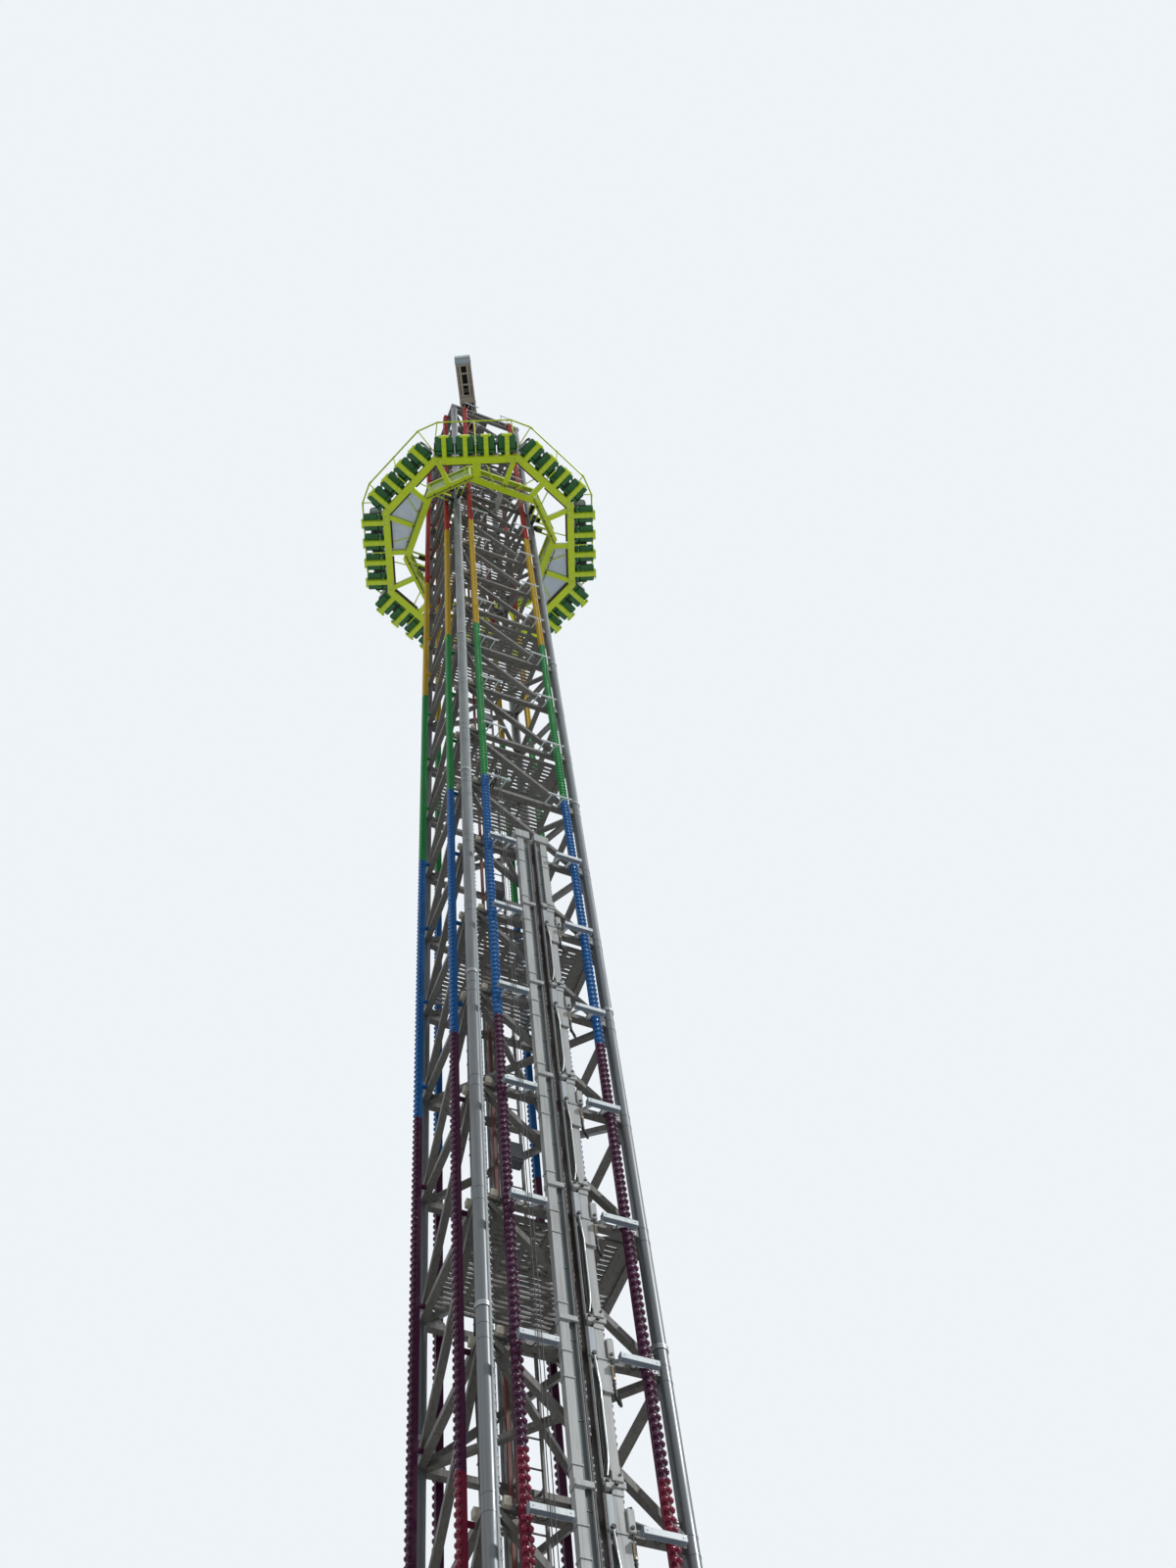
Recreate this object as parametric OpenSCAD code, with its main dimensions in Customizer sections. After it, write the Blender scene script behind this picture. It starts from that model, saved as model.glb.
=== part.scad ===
/* [Mast] */
// Distance between the centres of two corner tubes
mast_w = 1400; // [1300:10:1500]
// Outer diameter of a corner tube
tube_d = 112; // [100:2:120]
// Wall of a corner tube
tube_t = 9; // [6:1:14]
// Height of the foot section, up to the first level of bars
foot_h = 1100; // [1000:10:1200]
// Height of one lattice bay
bay_h = 1500; // [1400:10:1550]
// Number of bays
bays = 24; // [20:1:24]
// Number of bays in one mast section
section_bays = 3; // [2:1:4]
// Side of a horizontal bar
bar_s = 64; // [50:2:76]
// Side of a diagonal bar
diag_s = 54; // [44:2:60]
// Thickness of a gusset plate
gusset_t = 12; // [8:1:16]
// Size of a gusset plate
gusset_s = 150; // [120:5:180]

/* [Base] */
// Height of the girders under the mast
girder_h = 240; // [180:10:280]
// Width of a girder flange
girder_w = 180; // [150:10:200]
// Thickness of the flanges and the web
girder_t = 20; // [14:1:26]
// Length of a girder past the tube centre
girder_over = 130; // [110:10:160]
// Size of an anchor plate
anchor_s = 300; // [260:10:320]
// Thickness of an anchor plate
anchor_t = 40; // [30:2:50]
// Diameter of an anchor bolt hole
anchor_hole = 36; // [28:1:40]
// Distance between the anchor bolt holes of a plate
anchor_pitch = 220; // [200:5:230]

/* [Light strips] */
// Distance of a strip from the nearest corner tube centre
strip_in = 195; // [180:5:210]
// Distance of a strip's middle in front of the tube centres
strip_out = 105; // [98:1:110]
// Width of a strip's channel
strip_w = 64; // [56:2:70]
// Depth of a strip's channel
strip_d = 40; // [34:2:46]
// Wall of a strip's channel
strip_t = 6; // [4:1:8]

/* [Lamp boxes] */
// Length of a lamp box
lamp_l = 300; // [280:10:320]
// Side of a lamp box
lamp_s = 50; // [40:2:60]
// Distance of a lamp box's middle from the middle of the face
lamp_x = 385; // [375:5:390]
// Distance of a lamp box's front from the tube centres
lamp_out = 270; // [260:5:280]
// Distance of a lamp box's middle below its level
lamp_drop = 175; // [160:5:190]
// Number of levels that carry lamp boxes
lamp_levels = 11; // [8:1:12]

/* [Brake] */
// Height of the top of the brake
brake_top = 17750; // [17000:50:18000]
// Distance between the middles of the two brake columns
brake_pitch = 270; // [260:5:290]
// Side of a brake column
brake_s = 70; // [60:2:80]
// Width of the slot between the brake's magnet rows
slot_w = 46; // [42:1:56]
// Distance of the columns' front from the tube centres
brake_out = 160; // [150:5:175]
// Thickness of a magnet row
magnet_t = 16; // [12:1:20]
// Thickness of the gondola's brake fin
fin_t = 16; // [12:1:20]
// Height of the gondola's brake fin
fin_h = 700; // [600:20:760]

/* [Gondola] */
// Height of the middle of the outer ring at rest
ring_z = 30500; // [30000:50:31000]
// Distance of a long side of the outer ring from the mast's axis
ring_long = 1635; // [1620:5:1650]
// How much farther out the short sides of the outer ring lie
ring_skew = 45; // [30:5:60]
// Side of the outer ring's box beam
ring_s = 120; // [100:2:130]
// Distance of the inner ring's faces from the mast's axis
inner_face = 1175; // [1165:5:1185]
// Distance of the inner ring's corners' flats from the mast's axis
inner_flat = 1273; // [1265:5:1280]
// Side of the inner ring's box beam
inner_s = 110; // [90:2:116]
// Height of the upper chord above the inner ring
chord_h = 600; // [560:10:640]
// Side of the upper chord
chord_s = 76; // [60:2:84]
// Side of a spoke
spoke_s = 84; // [70:2:96]
// Distance between two seats on a long side
seat_long = 368; // [364:1:372]
// Distance between two seats on a short side
seat_short = 350; // [346:1:354]
// Length of a seat arm past the ring
arm_l = 385; // [370:5:400]
// Width of a seat arm
arm_w = 80; // [70:2:86]
// Height of a seat arm
arm_h = 84; // [70:2:90]
// Width of an arm's end plate
arm_end_w = 150; // [120:5:170]
// Thickness of an arm's end plate
arm_end_t = 30; // [20:2:36]

/* [Seats] */
// Width of a seat shell
seat_w = 318; // [300:2:324]
// Depth of a seat shell
seat_d = 330; // [310:5:340]
// Height of the seat back above the pan
seat_back = 560; // [520:10:600]
// Thickness of the shell
seat_t = 30; // [24:1:36]
// Height of a seat pan
pan_h = 80; // [70:2:90]
// Depth of the wings in front of the back
wing_d = 110; // [90:5:130]
// Thickness of a shoulder bar
bar_t = 42; // [36:2:50]
// Reach of a shoulder bar in front of the seat back
bar_reach = 230; // [220:5:250]

/* [Hoop] */
// Distance of the hoop outside the long sides of the ring
hoop_out = 455; // [440:5:470]
// Height of the hoop above the ring
hoop_h = 900; // [860:10:940]
// Diameter of the hoop's tube
hoop_d = 30; // [24:1:36]
// Length of a corner piece of the hoop
hoop_corner = 380; // [340:10:420]
// Diameter of a post and a strut
post_d = 22; // [16:1:26]
// Height of the posts on the corners of the ring
post_h = 645; // [635:5:670]

/* [Guide wheels] */
// Diameter of a guide wheel
wheel_d = 170; // [150:5:180]
// Width of a guide wheel
wheel_w = 56; // [44:2:64]
// Diameter of a wheel's axle
axle_d = 30; // [24:1:36]
// Thickness of a fork plate
fork_t = 14; // [10:1:16]
// Height of the upper pair of wheels above the lower pair
wheel_rise = 600; // [560:10:640]

/* [Jib] */
// Turn of the jib away from the front, towards the left
jib_turn = 27; // [0:1:45]
// Reach of the jib from the mast's axis
jib_reach = 1860; // [1800:10:1900]
// Width of the jib
jib_w = 330; // [300:5:350]
// Depth of the jib
jib_h = 210; // [190:5:230]
// Wall of the jib
jib_t = 14; // [10:1:18]
// Height of the head frame on top of the mast
head_h = 250; // [220:10:280]
// Diameter of the jib's column
column_d = 300; // [280:10:320]
// Height of the jib's pivot above the head frame
pivot_h = 520; // [500:10:540]
// Diameter of the jib's pivot pin
pivot_d = 60; // [50:2:70]
// Diameter of a luffing cylinder's barrel
barrel_d = 74; // [64:2:84]
// Diameter of a luffing cylinder's rod
rod_d = 40; // [34:2:44]

/* [Hidden] */
$fn = 32;
fit = 0.3;
run = 6;
half = mast_w/2;
tube_r = tube_d/2;
top_z = foot_h+bays*bay_h;
head_z = top_z+head_h;
ring_short = ring_long+ring_skew;
hoop_long = ring_long+hoop_out;
diag_l = norm([mast_w, bay_h]);
diag_a = atan2(bay_h, mast_w);
green = [0.63, 0.78, 0.05];
steel = [0.62, 0.64, 0.65];
grey = [0.42, 0.42, 0.40];

function dir(a) = [cos(a), sin(a)];
// Corner where two sides meet, each given by the angle of its normal and its distance
function meet(a, d, b, e) = [(d*sin(b)-e*sin(a))/sin(b-a), (e*cos(a)-d*cos(b))/sin(b-a)];
// Octagon whose even sides lie at distance d and odd sides at distance e, the first normal at angle a
function octagon(a, d, e) = [for (i = [0:7]) meet(a+45*i, i%2 == 0 ? d : e, a+45*(i+1), i%2 == 0 ? e : d)];
function leg_at(i) = half*sqrt(2)*dir(45+90*i);

module frame_band(outer, inner, h) {
    translate([0, 0, -h/2]) linear_extrude(h) difference() {
        polygon(outer);
        polygon(inner);
    }
}
// Square bar between two points in one plane through the Z axis
module bar(p, q, s, t) {
    d = q-p;
    l = norm(d);
    translate(p) rotate([0, acos(d[2]/l), atan2(d[1], d[0])]) translate([-s/2, -t/2, 0]) cube([s, t, l]);
}
module rod(p, q, d, past = 0) {
    v = q-p;
    l = norm(v);
    translate(p) rotate([0, acos(v[2]/l), atan2(v[1], v[0])])
        translate([0, 0, -past]) cylinder(d = d, h = l+2*past, $fn = 8);
}
module box(x0, x1, y0, y1, z0, z1) {
    translate([x0, y0, z0]) cube([x1-x0, y1-y0, z1-z0]);
}

// Base
module girder(l) {
    translate([-l/2, -girder_w/2, 0]) cube([l, girder_w, girder_t]);
    translate([-l/2, -girder_w/2, girder_h-girder_t]) cube([l, girder_w, girder_t]);
    translate([-l/2, -girder_t/2, 0]) cube([l, girder_t, girder_h]);
}
module base_girders() {
    l = mast_w+2*girder_over;
    color(grey) difference() {
        union() {
            for (s = [-1, 1]) {
                translate([0, s*half, 0]) girder(l);
                translate([s*half, 0, 0]) rotate(90) girder(l);
            }
            girder(mast_w);
            rotate(90) girder(mast_w);
        }
        for (i = [0:3])
            translate([leg_at(i)[0], leg_at(i)[1], -1]) {
                translate([-anchor_s/2-fit, -anchor_s/2-fit, 0])
                    cube([anchor_s+2*fit, anchor_s+2*fit, anchor_t+1+fit]);
                translate([0, 0, anchor_t]) cylinder(r = tube_r+fit, h = girder_h+2);
            }
    }
}
module anchor_plates() {
    color(steel) for (i = [0:3]) translate([leg_at(i)[0], leg_at(i)[1], 0]) difference() {
        translate([-anchor_s/2, -anchor_s/2, 0]) cube([anchor_s, anchor_s, anchor_t]);
        for (x = [-1, 1], y = [-1, 1])
            translate([x*anchor_pitch/2, y*anchor_pitch/2, -1]) cylinder(d = anchor_hole, h = anchor_t+2);
    }
}

// Corner tubes, with a pair of lugs on the inner side at each section joint
joint_up = 260;
lug = [50, 50, 56];
lug_gap = 10;
module leg(i) {
    h = top_z+bar_s/2-anchor_t;
    color(steel) translate([leg_at(i)[0], leg_at(i)[1], anchor_t]) difference() {
        union() {
            cylinder(r = tube_r, h = h);
            for (k = [section_bays:section_bays:bays-1], m = [-1, 1]) rotate(225+90*i)
                translate([tube_r-tube_t/2, -lug[1]/2, foot_h+k*bay_h+joint_up-anchor_t])
                    translate([0, 0, m*(lug[2]/2+lug_gap/2)-lug[2]/2]) cube(lug);
        }
        translate([0, 0, -1]) cylinder(r = tube_r-tube_t, h = h+2);
    }
}

// One side of the mast, drawn in the XZ plane and seen from outside
module lattice() {
    g = gusset_s;
    difference() {
        rotate([90, 0, 0]) union() {
            linear_extrude(bar_s, center = true) {
                for (k = [0:bays]) translate([-half, foot_h+k*bay_h-bar_s/2]) square([mast_w, bar_s]);
                for (k = [0:bays-1]) translate([-half, foot_h+(k+1)*bay_h]) rotate(-diag_a)
                    translate([0, -diag_s/2]) square([diag_l, diag_s]);
            }
            linear_extrude(gusset_t, center = true)
                for (k = [0:bays-1], turn = [0, 180])
                    translate([0, foot_h+(k+0.5)*bay_h]) rotate(turn) translate([-half, bay_h/2])
                        polygon([[0, 0], [1.4*g, 0], [1.4*g, -0.5*g], [0.6*g, -1.4*g], [0, -1.4*g]]);
        }
        for (s = [-1, 1]) translate([s*half, 0, 0]) cylinder(r = tube_r+fit, h = top_z+2*bar_s);
    }
}
module side(i, flip) {
    rotate(90*i) translate([0, -half, 0]) mirror([flip, 0, 0]) children();
}
module lattice_front() { color(grey) side(0, 0) lattice(); }
module lattice_right() { color(grey) side(1, 1) lattice(); }
module lattice_back() { color(grey) side(2, 0) lattice(); }
module lattice_left() { color(grey) side(3, 1) lattice(); }

module plan_bracing() {
    l = half-bar_s/2-fit;
    color(grey) for (k = [0:section_bays:bays]) translate([0, 0, foot_h+k*bay_h]) intersection() {
        union() for (a = [45, 135]) rotate(a)
            translate([-mast_w, -diag_s/2, -diag_s/2]) cube([2*mast_w, diag_s, diag_s]);
        difference() {
            translate([-l, -l, -bar_s]) cube([2*l, 2*l, 2*bar_s]);
            for (i = [0:3]) translate([leg_at(i)[0], leg_at(i)[1], -bar_s-1])
                cylinder(r = tube_r+fit, h = 2*bar_s+2);
        }
    }
}

// Light strip: a channel open to the front, with a saddle at every level
module strip(s) {
    z0 = foot_h-bar_s;
    h = top_z-z0;
    y0 = -strip_out+strip_d/2;
    translate([s*(half-strip_in), 0, z0]) {
        linear_extrude(h) translate([-strip_w/2, y0-strip_d]) difference() {
            square([strip_w, strip_d]);
            translate([strip_t, -1]) square([strip_w-2*strip_t, strip_d-strip_t+1]);
        }
        for (k = [0:bays]) translate([-strip_w/4, y0, k*bay_h+bar_s-bar_s/4])
            cube([strip_w/2, -y0-bar_s/2-fit, bar_s/2]);
    }
}
module strips(i) {
    color("purple") side(i, 0) for (s = [-1, 1]) strip(s);
}
// Narrow bars that carry a row of clear bulbs on each corner tube
tube_strip_w = 20;
tube_strip_t = 12;
module tube_strips() {
    color(steel) for (i = [0:3]) translate([leg_at(i)[0], leg_at(i)[1], foot_h]) rotate(90*i+135)
        translate([tube_r+fit, -tube_strip_w/2, 0]) cube([tube_strip_t, tube_strip_w, top_z-foot_h]);
}

// Lamp boxes in front of the face, each on two arms that slope down, and slim rails in their place farther up
lamp_arm = 12;
lamp_arm_at = [-100, 50];
module lamp_pair(box_s) {
    in = bar_s/2+fit;
    out = lamp_out-box_s+1;
    for (s = [-1, 1]) {
        translate([s*lamp_x-lamp_l/2, -lamp_out, -lamp_drop-box_s/2]) cube([lamp_l, box_s, box_s]);
        for (a = lamp_arm_at)
            translate([s*(lamp_x+a)+lamp_arm/2, 0, 0]) rotate([90, 0, -90]) linear_extrude(lamp_arm)
                polygon([[in, -bar_s/4], [in, bar_s/4], [out, box_s/2-lamp_drop], [out, -box_s/2-lamp_drop]]);
    }
}
module lamp_boxes() {
    color([0.8, 0.82, 0.83]) side(0, 0) for (k = [1:bays])
        translate([0, 0, foot_h+k*bay_h]) lamp_pair(k > lamp_levels ? lamp_s/3 : lamp_s);
}

// Two taut ropes between a bracket above the lamp boxes and one on the lowest bars
rope_d = 8;
rope_arm = 18;
rope_at = [[-375, -lamp_out-12], [-405, -lamp_out-12]];
module front_ropes() {
    color("dimgray") side(0, 0) for (p = rope_at) {
        translate([p[0], p[1], foot_h-bar_s/4]) cylinder(d = rope_d, h = (lamp_levels+1)*bay_h, $fn = 8);
        for (k = [0, lamp_levels+1])
            translate([p[0]-rope_arm/2, p[1]-rope_arm/2, foot_h+k*bay_h-bar_s/4-rope_arm/2])
                cube([rope_arm, rope_arm/2-p[1]-bar_s/2-fit, rope_arm]);
    }
}

// Brake: two columns, each with a web that carries a row of magnets beside the slot
collar_at = [150, 330, 1100, 1350];
collar_t = 7;
collar_h = 60;
web_t = 12;
cap_w = 170;
cap_h = 150;
cap_over = 20;
module brake_half(s) {
    z0 = foot_h;
    h = brake_top-z0;
    x0 = brake_pitch/2;
    y1 = -brake_out+brake_s;
    mirror([s < 0 ? 1 : 0, 0, 0]) {
        translate([x0-brake_s/2, -brake_out, z0]) cube([brake_s, brake_s, h]);
        translate([slot_w/2, -brake_out+brake_s/2-web_t/2, z0]) cube([x0-brake_s/2-slot_w/2, web_t, h]);
        translate([slot_w/2, -brake_out, z0]) cube([magnet_t, brake_s, h]);
        for (k = [0:floor((h-60)/bay_h)], c = collar_at)
            if (z0+k*bay_h+c < brake_top-40)
                translate([x0-brake_s/2-collar_t, -brake_out-collar_t, z0+k*bay_h+c])
                    cube([brake_s+2*collar_t, brake_s+collar_t, c == collar_at[0] ? collar_h : 16]);
        for (k = [0:floor(h/bay_h)])
            translate([x0-brake_s/2, y1, z0+k*bay_h-bar_s/4]) cube([brake_s, -y1-bar_s/2-fit, bar_s/2]);
        translate([slot_w/2+run, -brake_out-cap_over, brake_top]) cube([cap_w, brake_s+2*cap_over, cap_h]);
    }
}
module brake_front_left() { color(steel) side(0, 0) brake_half(-1); }
module brake_front_right() { color(steel) side(0, 0) brake_half(1); }
module brake_back() { color(steel) side(2, 0) { brake_half(-1); brake_half(1); } }

// Levers on the right front column: a widening plate with its pin in every bay, and a valve beside it
lever_t = 14;
module brake_levers() {
    w = brake_s/2;
    z0 = collar_at[0]+collar_h+fit;
    z1 = collar_at[1]-fit;
    color(steel) side(0, 0) for (k = [0:floor((brake_top-foot_h-collar_at[1])/bay_h)])
        translate([brake_pitch/2, -brake_out-fit, foot_h+k*bay_h]) {
            rotate([90, 0, 0]) linear_extrude(lever_t)
                polygon([[-w, z1], [w, z1], [w, z1-50], [1.6*w, z0], [-1.6*w, z0], [-w, z1-50]]);
            translate([-w/2, -lever_t+1, collar_at[1]-60]) rotate([90, 0, 0]) cylinder(d = 26, h = 22);
            translate([w+fit, brake_s/4, collar_at[1]+170]) cube([44, brake_s/2, 120]);
            translate([w+fit+22, brake_s/2, collar_at[1]+60]) cylinder(d = 24, h = 111);
        }
}

// Head frame: four posts on the corner tubes, a square of beams and a cross that carries the jib
head_beam = 90;
head_cross = 180;
module head_frame() {
    o = half+tube_r;
    q = half-tube_r;
    color(grey) translate([0, 0, top_z]) {
        difference() {
            translate([-o, -o, head_h-head_beam]) cube([2*o, 2*o, head_beam]);
            translate([-q, -q, 0]) cube([2*q, 2*q, head_h+1]);
        }
        for (a = [0, 90]) rotate(a)
            translate([-q, -head_cross/2, head_h-head_beam]) cube([2*q, head_cross, head_beam]);
        for (i = [0:3]) rotate(90*i)
            translate([q, q, bar_s/2+fit]) cube([tube_d, tube_d, head_h-head_beam-bar_s/2-fit]);
    }
}

// Sheaves of the hoist on the head, each between two bearing blocks
sheave_d = 200;
sheave_w = 50;
module head_sheaves() {
    color(green) for (a = [0, 180]) rotate(a) translate([0, half-150, head_z+fit]) {
        translate([0, 0, sheave_d/2+30]) rotate([0, 90, 0]) difference() {
            union() {
                cylinder(d = sheave_d, h = sheave_w, center = true);
                cylinder(d = 50, h = sheave_w+120, center = true);
            }
            rotate_extrude() translate([sheave_d/2+4, 0]) circle(d = 34);
        }
        for (s = [-1, 1]) translate([s*(sheave_w/2+35)-20, -60, 0]) difference() {
            cube([40, 120, sheave_d/2+70]);
            translate([-1, 60, sheave_d/2+30]) rotate([0, 90, 0]) cylinder(d = 50+2*fit, h = 42);
        }
    }
}

rung_pitch = 300;
module ladder() {
    y = half-bar_s/2-80;
    color(steel) {
        for (s = [-1, 1]) translate([150+s*110-10, y-20, foot_h]) cube([20, 40, top_z-foot_h-bar_s]);
        for (k = [0:floor((top_z-foot_h-200)/rung_pitch)]) translate([45, y, foot_h+(k+0.5)*rung_pitch])
            rotate([0, 90, 0]) cylinder(d = 16, h = 210, $fn = 8);
        for (k = [0:bays-1]) for (s = [-1, 1])
            translate([150+s*110-6, y+20, foot_h+k*bay_h-15]) cube([12, 60-fit, 30]);
    }
}

// Gratings inside the mast, one in the middle of every section
module platforms() {
    l = half-bar_s/2-60;
    color(grey) for (k = [1:section_bays:bays-1]) translate([0, 0, foot_h+k*bay_h]) {
        difference() {
            translate([-half+bar_s/2+fit, -l, -15]) cube([mast_w-bar_s-2*fit, l*0.9, 30]);
            for (i = [0:7]) translate([-half+bar_s/2+60+i*150, -l+40, -20]) cube([100, l*0.9-80, 40]);
        }
    }
}

// Gondola
ring_a = -112.5;
chord_post = 50;
wide_spoke = 145;
brace_d = 22;
panel_t = 6;
function side_a(i) = ring_a+45*i;
function side_d(i) = i%2 == 0 ? ring_long : ring_short;
function side_pitch(i) = i%2 == 0 ? seat_long : seat_short;
module at_ring() { translate([0, 0, ring_z]) children(); }
module outer_ring() {
    o = ring_s/2;
    color(green) at_ring() {
        frame_band(octagon(ring_a, ring_long+o, ring_short+o),
            octagon(ring_a, ring_long-o, ring_short-o), ring_s);
        for (i = [0:7], j = [-1.5:1:1.5]) rotate(side_a(i)) translate([side_d(i)+o-1, side_pitch(i)*j, 0]) {
            translate([0, -arm_w/2, -arm_h/2]) cube([arm_l+1, arm_w, arm_h]);
            translate([arm_l+1-arm_end_t, -arm_end_w/2, -arm_h/2]) cube([arm_end_t, arm_end_w, arm_h]);
        }
    }
}
module inner_ring() {
    o = inner_s/2;
    color(green) at_ring()
        frame_band(octagon(-90, inner_face+o, inner_flat+o),
            octagon(-90, inner_face-o, inner_flat-o), inner_s);
}
module upper_chord() {
    o = chord_s/2;
    color(green) at_ring() {
        translate([0, 0, chord_h])
            frame_band(octagon(-90, inner_face+o, inner_flat+o),
                octagon(-90, inner_face-o, inner_flat-o), chord_s);
        for (p = chord_pts) translate([p[0]-chord_post/2, p[1]-chord_post/2, inner_s/2])
            cube([chord_post, chord_post, chord_h-inner_s/2-chord_s/2+1]);
    }
}
module spokes() {
    color(green) at_ring() intersection() {
        union() {
            for (i = [0:15]) rotate(22.5*i)
                translate([0, -spoke_s/2, -spoke_s/2]) cube([2*ring_long, spoke_s, spoke_s]);
            rotate(ring_a) translate([0, -wide_spoke/2, -spoke_s/2]) cube([2*ring_long, wide_spoke, spoke_s]);
        }
        between_rings(ring_s, fit);
    }
}
module between_rings(h, gap) {
    o = ring_s/2+gap;
    q = inner_s/2+gap;
    frame_band(octagon(ring_a, ring_long-o, ring_short-o), octagon(-90, inner_face+q, inner_flat+q), h);
}
// One thin tube across every bay between two spokes
module ring_braces() {
    color(green) at_ring() difference() {
        intersection() {
            for (i = [0:15]) rotate(22.5*i) {
                a = 22.5/2-(i%2 == 0 ? 8 : -8);
                b = 22.5/2+(i%2 == 0 ? 8 : -8);
                p = concat((inner_face-inner_s)*dir(a), [0]);
                q = concat((ring_short+ring_s)*dir(b), [0]);
                rod(p, q, brace_d);
            }
            between_rings(ring_s, fit);
        }
        for (i = [0:15]) rotate(22.5*i)
            translate([0, -spoke_s/2-fit, -ring_s]) cube([2*ring_long, spoke_s+2*fit, 2*ring_s]);
        rotate(ring_a)
            translate([0, -wide_spoke/2-fit, -ring_s]) cube([2*ring_long, wide_spoke+2*fit, 2*ring_s]);
    }
}
// Upright panels between the inner ring and the upper chord, left out at the front and the back
module side_panels() {
    color([0.75, 0.85, 0.4]) at_ring() for (i = [1:7]) if (i != 4) rotate(-90+45*i)
        translate([(i%2 == 0 ? inner_face : inner_flat)-panel_t/2, -panel_w(i)/2, inner_s/2+fit])
            cube([panel_t, panel_w(i), chord_h-inner_s/2-chord_s/2-2*fit]);
}
// Distance between the chord's posts on one side, less a gap
chord_pts = octagon(-90, inner_face, inner_flat);
function panel_w(i) = norm(chord_pts[i]-chord_pts[(i+7)%8])-chord_post*1.6;
// Mesh panels in two bays on the right and two on the left
module deck_panels() {
    big = 2*ring_long;
    o = spoke_s/2+fit;
    color([0.45, 0.6, 0.75]) at_ring() for (a = [-22.5, 0, 157.5, 180])
        translate([0, 0, brace_d/2+fit+panel_t/2]) intersection() {
            between_rings(panel_t, fit);
            rotate(a) translate([0, o, -ring_s]) cube([big, big, 2*ring_s]);
            rotate(a+22.5) translate([0, -big-o, -ring_s]) cube([big, big, 2*ring_s]);
        }
}
hoop_pts = [for (i = [0:7], s = [-1, 1]) let (a = side_a(i), d = hoop_long,
    l = meet(0, d, 45, d)[1]-hoop_corner/2/cos(22.5))
    [d*cos(a)-s*l*sin(a), d*sin(a)+s*l*cos(a)]];
module hoop_tube(d) {
    for (i = [0:15]) rod(concat(hoop_pts[i], [hoop_h]), concat(hoop_pts[(i+1)%16], [hoop_h]), d, hoop_d*0.2);
}
module hoop() { color(green) at_ring() hoop_tube(hoop_d); }
// Where the strut in the middle of a side rises outside the ring
post_out = 280;
module hoop_struts() {
    color(green) at_ring() difference() {
        for (i = [0:7]) {
            a = side_a(i);
            rotate(a) {
                rod([side_d(i)+ring_s/2+fit, 0, 0], [side_d(i)+post_out, 0, 0], post_d, 0);
                rod([side_d(i)+post_out-post_d/3, 0, -post_d/4], [hoop_long, 0, hoop_h], post_d, 0);
            }
            c = meet(a, side_d(i), a+45, side_d(i+1));
            rod(concat(c, [ring_s/2+fit]), concat(c, [post_h]), post_d);
            for (p = [hoop_pts[2*i+1], hoop_pts[(2*i+2)%16]])
                rod(concat(c, [post_h-post_d/2]), concat(p, [hoop_h]), post_d);
        }
        hoop_tube(hoop_d+2*fit);
    }
}
module at_seats() {
    at_ring() for (i = [0:7], j = [-1.5:1:1.5])
        rotate(side_a(i)) translate([side_d(i)+ring_s/2+30, side_pitch(i)*j, arm_h/2+fit]) children();
}
// Pan with a rounded front edge, drawn from the side
module seat_pan() {
    translate([0, seat_w/2, 0]) rotate([90, 0, 0]) linear_extrude(seat_w) {
        translate([back_t+fit, 0]) square([seat_d-back_t-fit-pan_h/2, pan_h]);
        translate([seat_d-pan_h/2, pan_h/2]) circle(d = pan_h);
    }
}
// Back, drawn from the front and narrower at the head, with a wing at each side
back_t = 2*seat_t-fit;
shoulder = 0.7*seat_back;
module seat_back_shell() {
    w = seat_w/2;
    rotate([90, 0, 90]) linear_extrude(back_t)
        polygon([[-w, 0], [w, 0], [w, shoulder], [0.7*w, seat_back], [-0.7*w, seat_back], [-w, shoulder]]);
    z = shoulder-pan_h;
    for (s = [-1, 1]) translate([back_t+fit, s*(w-seat_t/2)+seat_t/2, pan_h+fit])
        rotate([90, 0, 0]) linear_extrude(seat_t)
            polygon([[0, 0], [0.6*wing_d, 0], [wing_d, 0.6*shoulder], [wing_d, z-wing_d/3], [0, z]]);
}
// Shoulder bars that reach over from the back, and the lap bar between them, drawn from the side
module restraint() {
    z1 = seat_back+fit;
    x1 = bar_reach;
    b = bar_t;
    for (s = [-1, 1]) translate([0, s*bar_y+b/2, 0]) rotate([90, 0, 0]) linear_extrude(b) {
        translate([0, z1]) square([x1-b, b]);
        translate([x1-b, z1-b*0.2]) circle(d = 1.6*b);
        translate([x1-b, z1-0.55*seat_back]) square([b*0.75, 0.55*seat_back]);
    }
    translate([x1-b, -bar_y, z1-0.55*seat_back-b/2]) cube([b*0.75, 2*bar_y, b]);
}
bar_y = 82;
module restraints() { color([0.1, 0.1, 0.1]) at_seats() restraint(); }
module seat_pans() { color([0.02, 0.25, 0.12]) at_seats() seat_pan(); }
module seat_backs() { color([0.02, 0.22, 0.11]) at_seats() seat_back_shell(); }

// Guide wheels: two on each corner tube at each of two heights
wheel_off = half+tube_r+fit+wheel_d/2;
wheel_gap = 8;
module at_wheels() {
    for (i = [0:3], z = [0, wheel_rise]) rotate(90*i) translate([0, 0, ring_z+z])
        for (m = [0, 1]) rotate(90*m) mirror([m, 0, 0]) translate([half, -wheel_off, 0]) children();
}
module guide_wheels() {
    color([0.08, 0.08, 0.08]) at_wheels() rotate([0, 90, 0]) difference() {
        cylinder(d = wheel_d, h = wheel_w, center = true);
        cylinder(d = axle_d+0.2, h = wheel_w+2, center = true);
    }
}
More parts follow.
